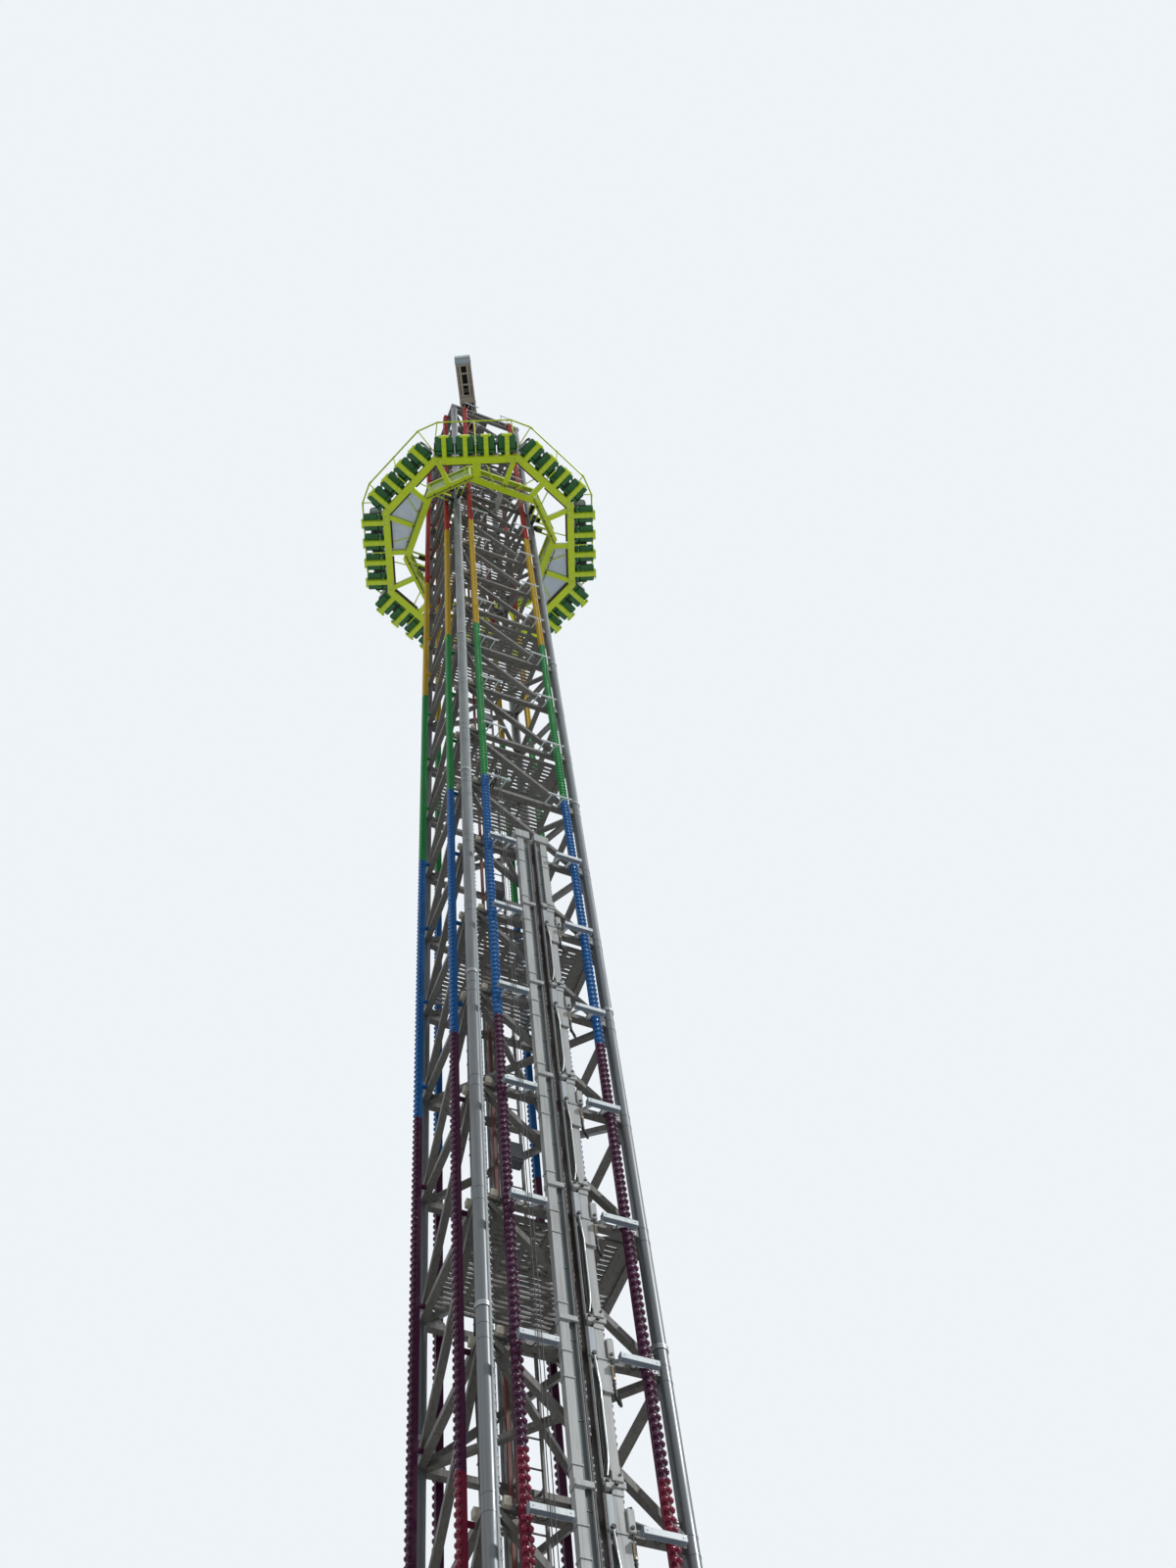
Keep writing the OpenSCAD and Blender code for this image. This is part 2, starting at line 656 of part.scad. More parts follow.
// Two plates and an axle, cut off where they meet the inner ring and the upper chord
module guide_forks() {
    x1 = wheel_w/2+wheel_gap;
    reach = inner_flat*sqrt(2)-half-wheel_off;
    color(green) difference() {
        at_wheels() {
            rotate([0, 90, 0]) cylinder(d = axle_d, h = 2*x1+2, center = true);
            for (s = [-1, 1]) translate([s*(x1+fork_t/2)-fork_t/2, -reach-100, -chord_s/2])
                cube([fork_t, reach+100+axle_d, chord_s]);
        }
        for (i = [0:3], z = [[0, inner_s], [wheel_rise, chord_s]]) rotate(45+90*i)
            translate([inner_flat-z[1]/2-fit, -half, ring_z+z[0]-inner_s]) cube([half, mast_w, 2*inner_s]);
    }
}
module brake_fins() {
    y0 = -(inner_face-half)+inner_s/2+fit;
    color(steel) for (i = [0, 2]) side(i, 0) translate([-fin_t/2, y0, ring_z-fin_h/2])
        cube([fin_t, brake_s-brake_out-magnet_t-y0, fin_h]);
}

// Jib
pivot_z = head_z+pivot_h;
module at_jib() { rotate(-90-jib_turn) children(); }
module jib_column() {
    z = column_h-1-pivot_h;
    color(grey) at_jib() translate([0, 0, head_z+fit]) {
        cylinder(d = column_d+120, h = 40);
        cylinder(d = column_d, h = column_h);
        for (s = [-1, 1]) translate([0, s*(jib_w/2-jib_t-run-cheek_t/2)+cheek_t/2, pivot_h-fit])
            rotate([90, 0, 0]) linear_extrude(cheek_t) difference() {
                union() {
                    circle(r = jib_h/2-jib_t-run-4);
                    polygon([[-column_d*0.4, z], [column_d*0.4, z], [jib_h*0.35, 0], [-jib_h*0.35, 0]]);
                }
                circle(d = pivot_d+2*fit);
            }
        translate([0, -foot_lug/2, 0]) cube([foot_s+lug_over, foot_lug, pivot_h+foot_v+lug_over]);
        translate([foot_s, 0, pivot_h+foot_v-fit]) rotate([90, 0, 0])
            cylinder(d = foot_pin_d, h = 2*luff_y+barrel_d, center = true);
    }
}
module jib_boom() {
    color(steel) at_jib() translate([0, 0, pivot_z]) {
        difference() {
            translate([-jib_back, -jib_w/2, -jib_h/2]) cube([jib_reach+jib_back, jib_w, jib_h]);
            translate([-jib_back-1, -jib_w/2+jib_t, -jib_h/2-1])
                cube([jib_reach+jib_back+2-jib_t, jib_w-2*jib_t, jib_h-jib_t+1]);
        }
        rotate([90, 0, 0]) cylinder(d = pivot_d, h = jib_w-2*jib_t+2, center = true);
        for (x = tie_at) translate([x, -jib_w/2+jib_t-1, -jib_h/2+tie_s/2])
            cube([tie_s, jib_w-2*jib_t+2, tie_s]);
        translate([jib_reach-120, 0, -10]) rotate([90, 0, 0]) {
            cylinder(d = tip_sheave, h = 40, center = true);
            cylinder(d = 30, h = jib_w-2*jib_t+2, center = true);
        }
        translate([eye_s, 0, eye_v]) rotate([90, 0, 0]) difference() {
            cylinder(d = eye_d, h = jib_w-2*jib_t+2, center = true);
            for (s = [-1, 1]) translate([0, 0, s*luff_y])
                cylinder(d = eye_d+2, h = eye_w+2*run, center = true);
        }
        translate([eye_s-10, -luff_y+eye_w/2+run, eye_v]) cube([20, 2*luff_y-eye_w-2*run, jib_h/2-eye_v-1]);
    }
}
jib_back = 160;
tie_at = [1020, 1260, 1500];
tie_s = 36;
tip_sheave = 150;
foot_s = 190;
foot_v = -360;
eye_s = 880;
eye_v = -20;
luff_a = atan2(eye_v-foot_v, eye_s-foot_s);
luff_l = norm([eye_s-foot_s, eye_v-foot_v]);
luff_y = 80;
foot_w = 56;
foot_lug = 2*luff_y-foot_w-2*run;
foot_pin_d = 34;
lug_over = 28;
eye_d = 64;
eye_w = 40;
cheek_t = 24;
column_h = 300;
module luff_pair() {
    at_jib() translate([foot_s, 0, pivot_z+foot_v]) rotate([0, -luff_a, 0])
        for (s = [-1, 1]) translate([0, s*luff_y, 0]) rotate([0, 90, 0]) children();
}
module luff_barrels() {
    color("firebrick") luff_pair() difference() {
        union() {
            cylinder(d = barrel_d, h = luff_l*0.62);
            rotate([90, 0, 0]) cylinder(d = barrel_d, h = foot_w, center = true);
        }
        translate([0, 0, barrel_d]) cylinder(d = rod_d+2*fit, h = luff_l);
        rotate([90, 0, 0]) cylinder(d = foot_pin_d+2*fit, h = barrel_d+2, center = true);
        for (s = [-1, 1]) translate([-barrel_d, s*(foot_w/2+barrel_d/2)-barrel_d/2, -barrel_d])
            cube([2*barrel_d, barrel_d, 1.6*barrel_d]);
    }
}
module luff_rods() {
    color("silver") luff_pair() {
        translate([0, 0, barrel_d+6]) cylinder(d = rod_d, h = luff_l-barrel_d-6);
        translate([0, 0, luff_l]) rotate([90, 0, 0]) cylinder(d = eye_d, h = eye_w, center = true);
    }
}

base_girders();
anchor_plates();
leg(2);  // leg_front_left
leg(3);  // leg_front_right
leg(0);  // leg_back_right
leg(1);  // leg_back_left
lattice_front();
lattice_right();
lattice_back();
lattice_left();
plan_bracing();
strips(0);  // strips_front
strips(1);  // strips_right
strips(2);  // strips_back
strips(3);  // strips_left
tube_strips();
lamp_boxes();
front_ropes();
brake_front_left();
brake_front_right();
brake_levers();
brake_back();
head_frame();
head_sheaves();
ladder();
platforms();
outer_ring();
inner_ring();
upper_chord();
spokes();
ring_braces();
side_panels();
deck_panels();
hoop();
hoop_struts();
seat_pans();
seat_backs();
restraints();
guide_forks();
guide_wheels();
brake_fins();
jib_column();
jib_boom();
luff_barrels();
luff_rods();
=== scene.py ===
# Drop tower ride at 1:2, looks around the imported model. Metres, +Z up.
import bpy
import bmesh
from math import radians, sin, cos, pi, sqrt
from mathutils import Matrix, Vector


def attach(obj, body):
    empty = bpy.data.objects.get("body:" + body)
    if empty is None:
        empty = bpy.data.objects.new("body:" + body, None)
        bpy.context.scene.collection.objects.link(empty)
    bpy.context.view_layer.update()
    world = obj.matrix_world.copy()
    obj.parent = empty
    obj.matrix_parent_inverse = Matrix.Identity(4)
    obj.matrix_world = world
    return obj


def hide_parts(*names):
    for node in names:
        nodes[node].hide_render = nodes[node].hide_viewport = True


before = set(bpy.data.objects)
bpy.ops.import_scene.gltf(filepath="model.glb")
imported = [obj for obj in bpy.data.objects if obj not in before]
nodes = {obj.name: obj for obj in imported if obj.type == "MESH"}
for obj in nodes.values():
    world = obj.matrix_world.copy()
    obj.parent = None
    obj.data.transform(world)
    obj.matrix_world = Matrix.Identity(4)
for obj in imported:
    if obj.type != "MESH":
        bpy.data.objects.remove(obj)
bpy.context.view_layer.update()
print("frame loaded:", len(nodes), "nodes")

mast = {"half": 0.7, "foot": 1.1, "bay": 1.5, "bays": 24, "bar": 0.064, "section": 3}
mastHigh = mast["bays"] * mast["bay"]
topZ = mast["foot"] + mastHigh
barFace = -mast["half"] - mast["bar"] / 2       # front of the bars across the mast
sideNames = ["front", "right", "back", "left"]


# Camera at the photograph's angle
photoView = {
    "spot": (-3.9574, -8.9741, 0.8),
    "azimuth": 59.355,     # degrees from +X
    "elevation": 63.566,
    "roll": -10.071,
    "lens": 39.502,        # mm on a picture that is "film" mm high
    "film": 36,
    "reach": 400,
}


def addCamera():
    data = bpy.data.cameras.new("photoCamera")
    data.sensor_fit = "VERTICAL"
    data.sensor_height = photoView["film"]
    data.lens = photoView["lens"]
    data.clip_end = photoView["reach"]
    a = radians(photoView["azimuth"])
    e = radians(photoView["elevation"])
    look = Vector((cos(e) * cos(a), cos(e) * sin(a), sin(e)))
    turn = look.to_track_quat("-Z", "Y").to_matrix().to_4x4()
    camera = bpy.data.objects.new("photoCamera", data)
    bpy.context.scene.collection.objects.link(camera)
    camera.matrix_world = (Matrix.Translation(photoView["spot"]) @ turn
                           @ Matrix.Rotation(radians(photoView["roll"]), 4, "Z"))
    bpy.context.scene.camera = camera


addCamera()
print("camera set")


# Nodes that the materials share
def fill(tree, node, values):
    for label, value in values.items():
        socket = node.inputs[label]
        if isinstance(value, (int, float)):
            socket.default_value = value
        elif isinstance(value, tuple):
            socket.default_value = value if socket.type == "VECTOR" else (*value, 1)
        else:
            tree.links.new(value, socket)


def addNode(tree, kind, values=None, **settings):
    node = tree.nodes.new("ShaderNode" + kind)
    for key, setting in settings.items():
        setattr(node, key, setting)
    fill(tree, node, values or {})
    return node


def objectCoords(tree):
    return addNode(tree, "TexCoord").outputs["Object"]


def addNoise(tree, coords, scale, detail, stretch=(1, 1, 1)):
    mapping = addNode(tree, "Mapping", {"Vector": coords, "Scale": stretch})
    noise = addNode(tree, "TexNoise", {"Vector": mapping.outputs[0], "Scale": scale, "Detail": detail})
    return noise.outputs["Fac"]


def addRange(tree, value, low, high, toLow=0.0, toHigh=1.0):
    span = addNode(tree, "MapRange", {"Value": value, "From Min": low, "From Max": high,
                                      "To Min": toLow, "To Max": toHigh})
    return span.outputs["Result"]


def addMath(tree, kind, a, b=0):
    return addNode(tree, "Math", {0: a, 1: b}, operation=kind).outputs[0]


def addMix(tree, factor, a, b, blend="MIX"):        # 6 and 7 are the two colours
    return addNode(tree, "Mix", {0: factor, 6: a, 7: b}, data_type="RGBA", blend_type=blend).outputs[2]


def addBump(tree, height, strength, distance):
    return addNode(tree, "Bump", {"Height": height, "Strength": strength, "Distance": distance}).outputs[0]


def newMaterial(name):
    material = bpy.data.materials.new(name)
    material.use_nodes = True
    return material, material.node_tree, material.node_tree.nodes["Principled BSDF"]


# Light and floor
studio = {
    "sky": 0.42,            # strength of the soft light from all round
    "skyColour": (0.93, 0.96, 1.0),
    "backdrop": (0.86, 0.9, 0.94),
    "floor": (0.82, 0.82, 0.81),
    "floorBounce": (0.6, 0.6, 0.59),  # what the floor sends back to the object
    "floorRough": 0.9,
    "floorSize": 160,
    "floorDrop": 0.002,
    "sunAngle": 2.5,
    "sunStrength": 2.5,
    "sunTurn": (52, 0, 46),  # degrees: tilt from straight down, then round the tower
    "fillStrength": 0.25,
    "fillTurn": (62, 0, -62),
}


def addSun(name, strength, turn):
    data = bpy.data.lights.new(name, "SUN")
    data.energy = strength
    data.angle = radians(studio["sunAngle"])
    lamp = bpy.data.objects.new(name, data)
    lamp.rotation_euler = [radians(v) for v in turn]
    bpy.context.scene.collection.objects.link(lamp)


def addSeen(tree):          # 1 for what is seen, also by reflection and through glass
    path = addNode(tree, "LightPath")
    seen = path.outputs["Is Camera Ray"]
    for kind in ("Is Glossy Ray", "Is Transmission Ray"):
        seen = addMath(tree, "MAXIMUM", seen, path.outputs[kind])
    return seen


def addSky():
    world = bpy.data.worlds.new("studioSky")
    bpy.context.scene.world = world
    world.use_nodes = True
    tree = world.node_tree
    tree.nodes.clear()
    soft = addNode(tree, "Background", {"Color": studio["skyColour"], "Strength": studio["sky"]})
    pale = addNode(tree, "Background", {"Color": studio["backdrop"], "Strength": 1})
    mix = addNode(tree, "MixShader", {0: addSeen(tree), 1: soft.outputs[0], 2: pale.outputs[0]})
    addNode(tree, "OutputWorld", {"Surface": mix.outputs[0]})


def addFloor():
    bm = bmesh.new()
    bmesh.ops.create_grid(bm, x_segments=1, y_segments=1, size=studio["floorSize"] / 2)
    mesh = bpy.data.meshes.new("studioFloor")
    bm.to_mesh(mesh)
    bm.free()
    floor = bpy.data.objects.new("studioFloor", mesh)
    floor.location.z = -studio["floorDrop"]
    bpy.context.scene.collection.objects.link(floor)
    paint, tree, face = newMaterial("floorPaint")
    shade = addMix(tree, addSeen(tree), studio["floorBounce"], studio["floor"])
    fill(tree, face, {"Base Color": shade, "Roughness": studio["floorRough"]})
    mesh.materials.append(paint)


addSun("keySun", studio["sunStrength"], studio["sunTurn"])
addSun("fillSun", studio["fillStrength"], studio["fillTurn"])
addSky()
addFloor()
bpy.context.scene.view_settings.view_transform = "Standard"
print("studio lit")


# Shader groups shared by the materials
def newGroup(name, inputs, outputs):
    group = bpy.data.node_groups.new(name, "ShaderNodeTree")
    for label, value in inputs.items():
        kind = "NodeSocketColor" if isinstance(value, tuple) else "NodeSocketFloat"
        group.interface.new_socket(name=label, in_out="INPUT", socket_type=kind).default_value = value
    for label in outputs:
        kind = "NodeSocketColor" if label == "Color" else "NodeSocketFloat"
        group.interface.new_socket(name=label, in_out="OUTPUT", socket_type=kind)
    return group, group.nodes.new("NodeGroupInput").outputs, group.nodes.new("NodeGroupOutput")


wear = {                        # scale, detail and stretch of each noise, and what it does
    "streak": (9.0, 5, (4, 4, 0.16)), "streakFrom": (0.48, 0.72), "streakRough": 0.3,
    "blotch": (1.7, 6), "blotchTint": (0.25, 0.25, 0.25), "blotchMix": (0.3, 0.75, 0.0, 0.35),
    "blotchRough": (0.3, 0.7, -0.06, 0.12),
    "spot": (26.0, 8), "spotFrom": (0.66, 0.74), "rust": (0.16, 0.055, 0.02), "rustRise": 2,
    "grain": (160.0, 2), "bump": (0.15, 0.0008),
}


def weatherGroup():
    group, given, out = newGroup("paintWeather", {
        "Paint": (0.5, 0.5, 0.5, 1), "Dirt": (0.1, 0.09, 0.07, 1), "Streaks": 0.4, "Rust": 0.1, "Gloss": 0.4,
    }, ("Color", "Roughness", "Height"))
    where = objectCoords(group)
    streak = addNoise(group, where, *wear["streak"])
    blotch = addNoise(group, where, *wear["blotch"])
    grain = addNoise(group, where, *wear["grain"])
    spot = addNoise(group, where, *wear["spot"])
    streaked = addMath(group, "MULTIPLY", addRange(group, streak, *wear["streakFrom"]), given["Streaks"])
    rusted = addMath(group, "MULTIPLY", addRange(group, spot, *wear["spotFrom"]), given["Rust"])
    varied = addMix(group, addRange(group, blotch, *wear["blotchMix"]), given["Paint"],
                    wear["blotchTint"], "OVERLAY")
    dirty = addMix(group, streaked, varied, given["Dirt"])
    rusty = addMix(group, rusted, dirty, wear["rust"])
    rough = addMath(group, "ADD", given["Gloss"], addRange(group, blotch, *wear["blotchRough"]))
    rougher = addMath(group, "ADD", rough, addMath(group, "MULTIPLY", streaked, wear["streakRough"]))
    height = addMath(group, "ADD", grain, addMath(group, "MULTIPLY", rusted, wear["rustRise"]))
    fill(group, out, {"Color": rusty, "Roughness": rougher, "Height": height})
    return group


bands = {                       # colour of the light strips from each height in metres up
    "magenta": (0.0, (0.19, 0.004, 0.032)),
    "purple": (8.95, (0.062, 0.004, 0.04)),
    "blue": (13.97, (0.001, 0.12, 0.38)),
    "green": (19.1, (0.006, 0.26, 0.05)),
    "yellow": (24.2, (0.56, 0.36, 0.003)),
    "red": (29.1, (0.4, 0.018, 0.01)),
}


def bandGroup():
    group, given, out = newGroup("heightBands", {"Shade": 1.0}, ("Color",))
    split = addNode(group, "SeparateXYZ", {0: objectCoords(group)})
    ramp = addNode(group, "ValToRGB", {"Fac": addRange(group, split.outputs["Z"], 0, topZ)})
    ramp.color_ramp.interpolation = "CONSTANT"
    stops = ramp.color_ramp.elements
    while len(stops) > 1:
        stops.remove(stops[-1])
    for i, (start, colour) in enumerate(bands.values()):
        stop = stops[0] if i == 0 else stops.new(start / topZ)
        stop.position = start / topZ
        stop.color = (*colour, 1)
    dark = addMix(group, given["Shade"], (0, 0, 0), ramp.outputs["Color"])
    fill(group, out, {"Color": dark})
    return group


paintWeather = weatherGroup()
heightBands = bandGroup()
finishes = {}                   # every material by its name


# Painted and bare steel
steelFinishes = {               # colour, dirt, streaks, rust, roughness, then any metal and coat
    "tubePaint": ((0.135, 0.15, 0.16), (0.1, 0.09, 0.075), 0.5, 0.15, 0.33, 0.35),
    "latticePaint": ((0.125, 0.122, 0.112), (0.05, 0.042, 0.034), 0.6, 0.35, 0.5),
    "brakePaint": ((0.345, 0.36, 0.355), (0.09, 0.08, 0.06), 0.45, 0.25, 0.42),
    "galvanised": ((0.24, 0.25, 0.26), (0.1, 0.09, 0.08), 0.4, 0.1, 0.45, 0.5),
    "lampPaint": ((0.62, 0.68, 0.7), (0.2, 0.2, 0.18), 0.25, 0.05, 0.38),
    "greenPaint": ((0.58, 0.745, 0.006), (0.22, 0.27, 0.01), 0.2, 0.04, 0.34, 0.0, 0.15),
    "paleGreen": ((0.62, 0.78, 0.3), (0.3, 0.36, 0.14), 0.3, 0.02, 0.4),
    "jibPaint": ((0.38, 0.35, 0.29), (0.12, 0.1, 0.07), 0.5, 0.25, 0.45),
    # near black: the brake pins' own colour, and painted shade inside the jib
    "jibDark": ((0.035, 0.034, 0.032), (0.02, 0.02, 0.02), 0.3, 0.1, 0.6),
    "paleBlue": ((0.36, 0.46, 0.52), (0.16, 0.18, 0.19), 0.4, 0.1, 0.45),
    "redPaint": ((0.5, 0.016, 0.02), (0.12, 0.01, 0.01), 0.3, 0.06, 0.3, 0.0, 0.4),
    "rustPaint": ((0.11, 0.022, 0.014), (0.04, 0.018, 0.012), 0.5, 0.4, 0.6),
    "boltSteel": ((0.34, 0.35, 0.35), (0.14, 0.12, 0.1), 0.3, 0.2, 0.38, 0.7),
    "brassMetal": ((0.36, 0.3, 0.23), (0.1, 0.07, 0.03), 0.3, 0.0, 0.35, 0.7),
    # dark blue-grey under and at the ends of the lamp boxes: painted shade
    "lampUnder": ((0.16, 0.2, 0.25), (0.08, 0.08, 0.08), 0.3, 0.1, 0.45),
    # dark teal of the recessed webs: painted shade
    "webPaint": ((0.085, 0.105, 0.11), (0.05, 0.05, 0.05), 0.5, 0.2, 0.45),
    "actuatorPaint": ((0.34, 0.39, 0.42), (0.12, 0.12, 0.11), 0.4, 0.1, 0.4),
    "boxBeige": ((0.46, 0.44, 0.36), (0.16, 0.14, 0.1), 0.4, 0.1, 0.5),
    "boxPaint": ((0.1, 0.11, 0.12), (0.05, 0.05, 0.05), 0.4, 0.1, 0.5),
}


def steelFinish(name, paint, dirt, streaks, rust, gloss, metallic=0.0, coat=0.0):
    finishes[name], tree, face = newMaterial(name)
    worn = addNode(tree, "Group", {"Paint": paint, "Dirt": dirt, "Streaks": streaks, "Rust": rust,
                                   "Gloss": gloss}, node_tree=paintWeather).outputs
    fill(tree, face, {"Base Color": worn["Color"], "Roughness": worn["Roughness"], "Metallic": metallic,
                      "Coat Weight": coat, "Normal": addBump(tree, worn["Height"], *wear["bump"])})


# Plastic of the light strips, in the colour of its height
stripFinishes = {               # brightness, roughness, coat, shine
    "channelPaint": (0.8, 0.5, 0.0, 0.2),
    # the bed at under half brightness: painted shade in the gaps between the caps
    "bedPlastic": (0.45, 0.4, 0.0, 0.15),
    "capPlastic": (1.0, 0.1, 0.1, 0.22),
}
stripDust = {"noise": (30, 5), "colour": (0.1, 0.09, 0.08), "mix": (0.5, 0.8, 0.0, 0.2),
             "roughFrom": (0.35, 0.7), "roughMore": 0.12, "coatRough": 0.05, "bump": (0.1, 0.0006)}


def stripFinish(name, shade, rough, coat, shine):
    finishes[name], tree, face = newMaterial(name)
    band = addNode(tree, "Group", {"Shade": shade}, node_tree=heightBands)
    dust = addNoise(tree, objectCoords(tree), *stripDust["noise"])
    dusty = addMix(tree, addRange(tree, dust, *stripDust["mix"]), band.outputs["Color"], stripDust["colour"])
    rougher = addRange(tree, dust, *stripDust["roughFrom"], rough, rough + stripDust["roughMore"])
    fill(tree, face, {"Base Color": dusty, "Roughness": rougher, "Coat Weight": coat,
                      "Coat Roughness": stripDust["coatRough"], "Specular IOR Level": shine,
                      "Normal": addBump(tree, dust, *stripDust["bump"])})


# Moulded plastic and rubber
mouldedFinishes = {             # colour, roughness, coat, then the grain where it is finer
    "shellPlastic": ((0.008, 0.115, 0.024), 0.36, 0.1),
    "blackRubber": ((0.014, 0.014, 0.014), 0.55, 0.0, 500),
    "blackPlastic": ((0.012, 0.013, 0.015), 0.35, 0.1),
    "wheelPlastic": ((0.018, 0.018, 0.02), 0.4, 0.1),
    "bulbPlastic": ((0.62, 0.66, 0.66), 0.14, 0.6),
    # dark brown of the strip inside the ring's beams: painted shade
    "trayRubber": ((0.05, 0.038, 0.028), 0.6, 0.0),
    "hoseGreen": ((0.2, 0.22, 0.03), 0.5, 0.0),
    "magnetBrown": ((0.022, 0.014, 0.009), 0.45, 0.0),
    # near black: the magnets' own coat, and painted shade on the sheet lining the slot
    "magnetCoat": ((0.009, 0.007, 0.006), 0.5, 0.0),
}
mottled = {"noise": (5, 4), "mix": (0.45, 0.8, 0.0, 0.35), "darker": 0.7, "dust": 0.004,
           "roughFrom": (0.3, 0.7), "roughMore": 0.18, "fineDetail": 2, "bump": (0.12, 0.0005)}


def mouldedFinish(name, colour, rough, coat, grain=300.0):
    finishes[name], tree, face = newMaterial(name)
    where = objectCoords(tree)
    mottle = addNoise(tree, where, *mottled["noise"])
    dull = tuple(v * mottled["darker"] + mottled["dust"] for v in colour)
    worn = addMix(tree, addRange(tree, mottle, *mottled["mix"]), colour, dull)
    rougher = addRange(tree, mottle, *mottled["roughFrom"], rough, rough + mottled["roughMore"])
    fine = addBump(tree, addNoise(tree, where, grain, mottled["fineDetail"]), *mottled["bump"])
    fill(tree, face, {"Base Color": worn, "Roughness": rougher, "Coat Weight": coat, "Normal": fine})


# Wire mesh of the deck, see-through between its wires
wireMesh = {"perMetre": 90, "wire": 0.36, "clear": 0.25, "dark": (0.3, 0.42, 0.55),
            "pale": (0.42, 0.5, 0.56), "dust": (7, 5), "dustFrom": (0.4, 0.7), "rough": (0.3, 0.7, 0.4, 0.6)}


def meshFinish(name):
    finishes[name], tree, face = newMaterial(name)
    where = objectCoords(tree)
    split = addNode(tree, "SeparateXYZ", {0: where})
    wires = []
    for axis in ("X", "Y"):
        steps = addMath(tree, "FRACT", addMath(tree, "MULTIPLY", split.outputs[axis], wireMesh["perMetre"]))
        wires.append(addMath(tree, "LESS_THAN", steps, wireMesh["wire"]))
    dust = addNoise(tree, where, *wireMesh["dust"])
    colour = addMix(tree, addRange(tree, dust, *wireMesh["dustFrom"]), wireMesh["dark"], wireMesh["pale"])
    wired = addRange(tree, addMath(tree, "MAXIMUM", *wires), 0, 1, wireMesh["clear"], 1.0)
    fill(tree, face, {"Base Color": colour, "Roughness": addRange(tree, dust, *wireMesh["rough"]),
                      "Alpha": wired})


for make, rows in ((steelFinish, steelFinishes), (stripFinish, stripFinishes),
                   (mouldedFinish, mouldedFinishes)):
    for name, values in rows.items():
        make(name, *values)
meshFinish("meshPanel")

nodeFinish = {                  # the CAD nodes that each finish goes on, by how their names start
    "tubePaint": ("leg_", "anchor_"),
    "latticePaint": ("lattice_", "plan_", "base_", "head_frame", "ladder", "platforms"),
    "channelPaint": "strips_",
    "lampPaint": ("tube_strips", "lamp_"),
    "brakePaint": "brake_",
    "greenPaint": ("outer_", "inner_", "upper_", "spokes", "ring_braces", "hoop", "guide_forks",
                   "head_sheaves"),
    "paleGreen": "side_panels",
    "meshPanel": "deck_panels",
    "shellPlastic": "seat_",
    "blackRubber": ("restraints", "front_ropes"),
    "wheelPlastic": "guide_wheels",
    "jibPaint": "jib_",
    "redPaint": "luff_barrels",
    "galvanised": "luff_rods",
}
for finish, starts in nodeFinish.items():
    for name, node in nodes.items():
        if name.startswith(starts):
            node.data.materials.clear()
            node.data.materials.append(finishes[finish])
print("materials made")


# Directions and steps
def spun(degrees):
    return Matrix.Rotation(radians(degrees), 4, "Z")


def turned(side):
    return spun(90 * side)


def pointed(line):
    return line.to_track_quat("Z", "Y").to_matrix().to_4x4()


def heading(degrees):
    return Vector((cos(radians(degrees)), sin(radians(degrees)), 0))


def up(height):
    return Vector((0, 0, height))


def moved(origin, x, y, z):
    return origin[0] + x, origin[1] + y, origin[2] + z


def cornerAt(i):
    return mast["half"] * sqrt(2) * heading(45 + 90 * i)


def everyBay(count, bays=1):
    return count, up(bays * mast["bay"])


# Helpers for building pieces
def addBox(bm, size, spot, turn=None, edge=0.0, segments=1):
    place = Matrix.Translation(spot) @ (turn or Matrix.Identity(4)) @ Matrix.Diagonal((*size, 1))
    verts = bmesh.ops.create_cube(bm, size=1, matrix=place)["verts"]
    if edge:
        edges = list({e for v in verts for e in v.link_edges})
        bmesh.ops.bevel(bm, geom=edges, offset=edge, offset_type="OFFSET", segments=segments, profile=0.5,
                        affect="EDGES", material=-1)


def addBoxes(bm, rows, origin=(0, 0, 0), hands=(-1, 1), lean=0):
    for size, (x, y, z), *rounding in rows:     # with two hands a box beside the middle line has a twin
        for hand in (hands if y else (1,)):
            addBox(bm, size, moved(origin, x, hand * y, z), spun(hand * lean), *rounding)


def addRod(bm, start, end, radius, sides=8):
    a, b = Vector(start), Vector(end)
    bmesh.ops.create_cone(bm, cap_ends=True, segments=sides, radius1=radius, radius2=radius,
                          depth=(b - a).length, matrix=Matrix.Translation((a + b) / 2) @ pointed(b - a))


def addPin(bm, spot, reach, radius, sides=6):       # a rod straight out from a face, along Y
    addRod(bm, spot, Vector(spot) + Vector((0, reach, 0)), radius, sides)


def addStub(bm, middle, radius, height, sides):
    addRod(bm, middle - up(height / 2), middle + up(height / 2), radius, sides)


dome = {"sides": 8, "shoulderOut": 0.82, "shoulderUp": 0.62}


def addDome(bm, spot, out, radius, rise):
    profile = ((radius, 0, 0), (radius * dome["shoulderOut"], 0, rise * dome["shoulderUp"]), (0, 0, rise))
    edge = [bm.verts.new(p) for p in profile]
    line = [bm.edges.new(edge[:2]), bm.edges.new(edge[1:])]
    kept = set(bm.verts) - set(edge)
    bmesh.ops.spin(bm, geom=edge + line, cent=(0, 0, 0), axis=(0, 0, 1), angle=2 * pi, steps=dome["sides"],
                   use_merge=True)
    made = [v for v in bm.verts if v not in kept]
    bmesh.ops.remove_doubles(bm, verts=made, dist=radius * 0.01)
    made = [v for v in bm.verts if v not in kept]
    bmesh.ops.recalc_face_normals(bm, faces=list({f for v in made for f in v.link_faces}))
    bmesh.ops.transform(bm, matrix=Matrix.Translation(spot) @ pointed(out), verts=made)


